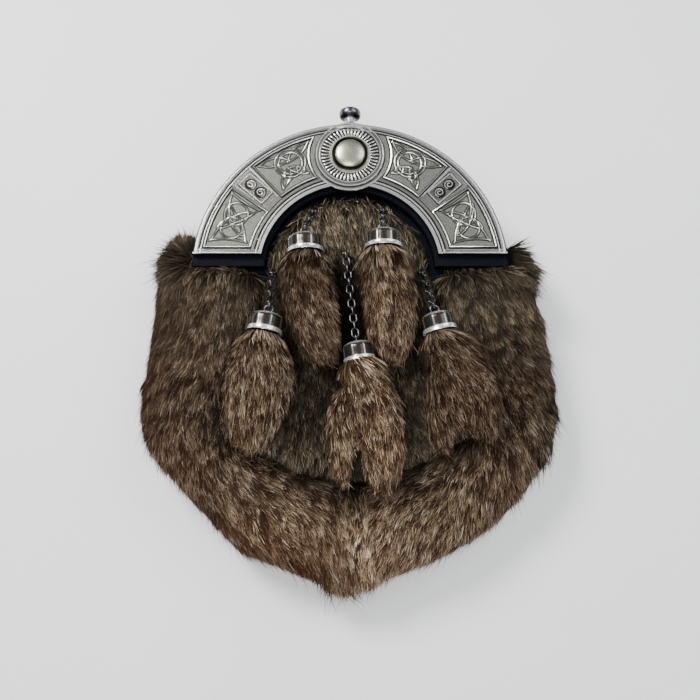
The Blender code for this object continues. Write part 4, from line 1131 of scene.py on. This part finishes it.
def hairColours(rng, root, tint, clumps, plan):
    # a tint has four columns: red, grey, brightness, and how far the light roots show
    bigFar, bigName, smallFar, smallName = clumps
    count = len(root)
    shade = {key: np.array(value) for key, value in furColours.items()}
    mood = 0.72 * smallName + 0.28 * rng.random(count)
    light = np.clip(plan["light"] + (mood - 0.5) * 3.5 + 0.12 * (bigName - 0.5), 0, 1)[:, None]
    mid = shade["dark"] * (1 - light) + shade["brown"] * light
    tip = shade["brown"] * 0.35 * (1 - light) + shade["tan"] * light
    pick = rng.random(count)[:, None] * 0.5 + smallName[:, None] * 0.5
    tip = np.where(pick > 1 - plan["cream"], shade["cream"], tip)
    tip = np.where(pick < plan["black"], shade["black"], tip)
    tints = tint(root)
    for key, amounts in zip(("red", "grey"), tints.T):
        amount = np.clip(amounts, 0, 1)[:, None]
        mid = mid * (1 - 0.6 * amount) + shade[key] * 0.5 * 0.6 * amount
        tip = tip * (1 - 0.4 * amount) + shade[key] * 1.5 * 0.4 * amount
    # hairs far from their tuft's middle are painted darker and those near it lighter: painted shade between
    # the tufts
    tuftShade = 1.4 - 0.3 * np.clip(bigFar - 0.35, 0, 1) - 1.7 * np.clip(smallFar - 0.3, 0, 0.65)
    level = (tints[:, 2] * tuftShade)[:, None]
    shown = tints[:, 3][:, None]
    base = (shade["root"] * (1 - shown) + tip * 0.4 * shown) * level
    mid = mid * (1 - shown) + tip * 0.65 * shown
    return np.stack([base, base, mid * level, mid * level, tip * level], 1)


def buildHairs(name, points, colour):
    count = len(points)
    groups = math.ceil(count / hairPlan["inOneMesh"])
    for group in range(groups):
        chosen = slice(group * count // groups, (group + 1) * count // groups)
        part, shades = points[chosen] * mm, colour[chosen]
        hairs = len(part)
        mesh = bpy.data.meshes.new(name)
        mesh.vertices.add(hairs * 5)
        mesh.vertices.foreach_set("co", part.astype(np.float32).ravel())
        first = np.arange(hairs)[:, None] * 5
        loops = (first + np.array([0, 1, 3, 2, 2, 3, 4])).ravel()
        mesh.loops.add(len(loops))
        mesh.loops.foreach_set("vertex_index", loops.astype(np.int32))
        starts = (np.arange(hairs)[:, None] * 7 + np.array([0, 4])).ravel()
        mesh.polygons.add(len(starts))
        mesh.polygons.foreach_set("loop_start", starts.astype(np.int32))
        mesh.update(calc_edges=True)
        layer = mesh.color_attributes.new("furColour", "FLOAT_COLOR", "POINT")
        rgba = np.concatenate([shades.reshape(-1, 3), np.ones((hairs * 5, 1))], 1)
        layer.data.foreach_set("color", rgba.astype(np.float32).ravel())
        title = name if groups == 1 else f"{name}_{group + 1}"
        mesh.name = title
        placePiece(mesh, title, "fur")


# the way the hair lies on the coat: x and y of a place and the direction there, blended between them
coatFlow = np.array((
    (-100, 45, -0.8, -0.6), (-84, 56, 0.8, 0.6), (-91, 52, -0.2, 0.8), (-99, 56, -1.0, -0.1),
    (-88, 20, -0.45, -0.9), (-70, 28, -0.15, -1.0), (-55, 20, -0.15, -1.0),
    (-105, 0, -0.65, -0.75), (-80, -20, -0.42, -0.9), (-60, -30, -0.1, -1.0), (-105, -40, -0.45, -0.9),
    (-85, -60, 0.1, -1.0), (-60, -75, 0.45, -0.9), (-95, -70, -0.5, -0.9), (-45, -95, 0.5, -0.85),
    (-70, -95, -0.2, -1.0), (-25, -100, 0.4, -0.9), (-45, -68, 0.9, -0.45), (-20, -78, 0.8, -0.6),
    (0, -80, 0.1, -1.0), (0, -120, 0.0, -1.0), (20, -80, -0.8, -0.6), (45, -70, -0.85, -0.5),
    (25, -100, -0.4, -0.9), (45, -95, -0.45, -0.9), (60, -75, -0.35, -0.95), (70, -95, 0.2, -1.0),
    (85, -60, 0.05, -1.0), (95, -65, 0.5, -0.9), (105, -40, 0.5, -0.85), (60, -30, 0.1, -1.0),
    (80, -20, 0.42, -0.9), (105, 0, 0.6, -0.8), (55, 20, 0.15, -1.0), (70, 28, 0.15, -1.0),
    (88, 20, 0.5, -0.9), (100, 42, 0.8, -0.6), (90, 52, 0.9, -0.4), (100, 54, 1.0, -0.3),
), float)


def coatWay(root, normal):
    far = (root[:, None, 0] - coatFlow[None, :, 0]) ** 2 + (root[:, None, 1] - coatFlow[None, :, 1]) ** 2
    share = 1 / (far + 60.0) ** 2
    share /= share.sum(1)[:, None]
    way = np.concatenate([share @ coatFlow[:, 2:], np.zeros((len(root), 1))], 1)
    steep = np.clip(1 - normal[:, 2], 0, 1)[:, None]
    return unit(way) + np.array([0, 0, -0.55]) * steep  # on the sides it also falls towards the floor


def coatTint(root):
    x, y = root.T[:2]
    edge = ramp(np.hypot(x / 100, (y + 25) / 92), 0.72, 1.07)
    red = 0.25 + 0.7 * edge * np.clip(0.5 - x / 160 - (y + 30) / 220, 0, 1) + 0.2 * waves(root, 38.0, 5)
    grey = np.clip(0.3 + (y - 5) / 70, 0, 0.75) + 0.15 * waves(root, 26.0, 9)
    level = 0.6 + 0.3 * ramp(-y, 40, 60) + 0.55 * ramp(-y, 62, 110) + 0.02 * ramp(y, 5, 20)
    # on the right the fur is painted darker between about y -45 and 15: painted shade on the side away from
    # the light
    level += 0.12 * waves(root, 30.0, 2) - 0.15 * (x > 0) * ramp(y, -45, -25) * ramp(-y, -15, 0)
    # painted shade along the crease under the bib
    creaseShade = np.clip(1 - np.abs(y - creaseAt(x) + 3) / 8, 0, 1) * (np.abs(x) < 66)
    tuft = np.exp(-(((x - 5) / 6) ** 2 + ((y + 101) / 10) ** 2))
    level = level * (1 - 0.7 * creaseShade) + 1.6 * tuft
    return np.stack([red * (1 - tuft), grey, level, padEdge(root)], 1)


def padEdge(root):
    # 1 where the coat meets the pad, falling to 0 a little below it
    x, y = root.T[:2]
    under = np.clip(1 - np.abs(35 - y) / 6, 0, 1) * (np.abs(x) < 84)
    beside = 0.3 * np.clip(1 - np.abs(x + 84) / 4, 0, 1) * (y > 33)
    return np.maximum(under, beside)


def creaseAt(x):
    # Y of the crease where the bib's fur ends on the coat; the coat's fur is painted dark along it as shade
    return -74.9 + 24.2 * (np.abs(x) / 62) ** 1.9


def coatAside(place):
    # the hide stays up at the left shoulder, where the fur stands against the cantle
    high = ramp(place.y, 15, 30)
    return 1 + 1.2 * high if place.x > 0 else 1 - 0.9 * high * ramp(place.x, -100, -92)


def coatAllowed(middle, normal):
    outward = unit(middle * (1, 1, 0) - np.array([0, -15, 0]))
    facing = (normal * outward).sum(1)
    keep = (normal[:, 2] > -0.55) & ((facing > -0.25) | (normal[:, 2] > 0.35))
    return keep * np.where(normal[:, 2] > 0.5, 1.0, 0.8)


def bibWay(root, normal):
    x, y = root.T[:2]
    spread = np.clip((10 - y) / 110, -0.2, 1) * x / 75
    return np.stack([spread + 0.05, -np.ones_like(x), np.zeros_like(x)], 1)


def bibTint(root):
    x, y = root.T[:2]
    # the darker strip down the middle and the darker band round y 5 are painted shade between and under the
    # tassels
    level = 0.48 - 0.3 * np.exp(-((x + 4) / 11) ** 2) * (y < 45) + 0.8 * ramp(y, 38, 63)
    level += 0.5 * np.clip(1 - np.abs(y - creaseAt(x) - 12) / 14, 0, 1)
    level -= 0.24 * np.exp(-((y - 5) / 22) ** 2)
    grey = 0.55 + 0.2 * waves(root, 20.0, 4)
    return np.stack([0.1 + 0 * x, grey, level, bibEdge(root)], 1)


def bibEdge(root):
    x, y = root.T[:2]
    return ramp(np.hypot(x + 1, np.maximum(y - arcY, 0)), 37, 41) * (y > 15)


def topOnly(middle, normal):
    return (normal[:, 2] > -0.1) * 1.0


collarRows = (  # along from the cap's rim, share of its radius
    (-2.0, 0.0), (-1.8, 0.70), (-0.6, 0.80), (0.5, 0.86), (1.4, 0.95), (3.2, 1.02), (6.5, 1.0),
    (9.5, 0.85), (12.0, 0.55), (13.0, 0.0),
)


def tasselWay(row):
    # along a bowed line from the rim over the belly to the tip
    start, belly, tip = (np.array((row[part + "X"], row[part + "Y"])) for part in ("rim", "belly", "tip"))
    t = np.linspace(0, 1, 24)[:, None]
    bend = belly * 2 - (start + tip) / 2
    line = start * (1 - t) ** 2 + bend * 2 * t * (1 - t) + tip * t**2
    heading = np.gradient(line, axis=0)

    def way(root, normal):
        far = np.linalg.norm(root[:, None, :2] - line[None], axis=2)
        along = heading[far.argmin(1)]
        along = along / np.linalg.norm(along, axis=1)[:, None]
        return np.concatenate([along, np.full((len(root), 1), -0.12)], 1)
    return way


def tasselTint(row):
    def tint(root):
        y = root[:, 1]
        reach = ramp(-y, -row["rimY"], -row["tipY"])
        red = 0.35 + 0.2 * waves(root, 14.0, int(abs(row["tipX"])) + 3)
        level = row["tone"] * (1 + 0.35 * reach + 0.1 * waves(root, 10.0, 6))
        return np.stack([red, 0 * y, level, 1 - ramp(reach, 0, 0.22)], 1)
    return tint


def tasselAllowed(row):
    rim, axis = tasselEnds(row)[1:]

    def allowed(middle, normal):  # none inside the cap
        return ((normal[:, 2] > -0.45) & ((middle - np.array(rim)) @ np.array(axis) > 0.3)) * 1.0
    return allowed


def edgeFlip(edge):
    return lambda root: 0.45 * edge(root)


def longerRim(root):
    x, y = root.T[:2]
    rim = ramp(np.hypot(x, y + 15), 85, 105)
    return 1 + (0.42 + 0.4 * waves(root, 7.0, 3)) * rim + 0.5 * ramp(-y, 108, 120)


def coatStand(root):
    # the hair lies flat on the right shoulder and stands off the lower rim
    x, y = root.T[:2]
    rim = ramp(np.hypot(x, y + 15), 92, 104) * ramp(-y, -10, 20)
    return 1 - 0.8 * ramp(y, 34, 40) * (x > 80) + (0.6 + 0.5 * waves(root, 6.0, 8)) * rim


coatPlan = {
    **hairPlan, "count": 125000, "length": 9.2, "bigTuft": 6.0, "unruly": 0.5, "light": 0.3, "guard": 0.08,
    "cream": 0.17, "black": 0.23, "flip": edgeFlip(padEdge), "longer": longerRim, "stand": coatStand,
}
bibPlan = {
    **hairPlan, "count": 31000, "length": 8.4, "bigTuft": 5.0, "unruly": 0.5, "light": 0.28, "guard": 0.06,
    "cream": 0.13, "black": 0.22, "flip": edgeFlip(bibEdge),
}
tasselPlan = {
    **hairPlan, "count": 10500, "length": 9.2, "bigTuft": 4.6, "unruly": 0.45, "light": 0.32, "guard": 0.08,
    "cream": 0.17, "black": 0.21, "swirl": 0.12,
}
furSeeds = {"coat": 11, "bib": 23, "tassel": 50}


def makeFur():
    bm = hideOf("fur_coat", 2.6, 1, (0, -15, 0), coatAside)
    growFur("fur_coat_hair", skinOf(bm), coatPlan, coatWay, coatTint, coatAllowed, furSeeds["coat"])
    finishPiece(bm, "fur_coat", "hide", "hide", 180, merge=False)
    print("coat grown")
    bm = hideOf("fur_bib", 2.2, 1, (0, 0, 0), lambda place: 0.1)
    growFur("fur_bib_hair", skinOf(bm), bibPlan, bibWay, bibTint, topOnly, furSeeds["bib"])
    finishPiece(bm, "fur_bib", "hide", "hide", 180, merge=False)
    print("bib grown")
    for number, row in enumerate(tassels, start=1):
        node = f"tassel_fur_{number}"
        bm = hideOf(node, 2.2, 2)
        addTo(bm, collarOf(row))
        way, tint, allowed = (make(row) for make in (tasselWay, tasselTint, tasselAllowed))
        seed = furSeeds["tassel"] + number
        growFur(node + "_hair", skinOf(bm), tasselPlan, way, tint, allowed, seed)
        finishPiece(bm, node, "hide", "hide", 180, merge=False)
    print("tassels grown")


makeFur()
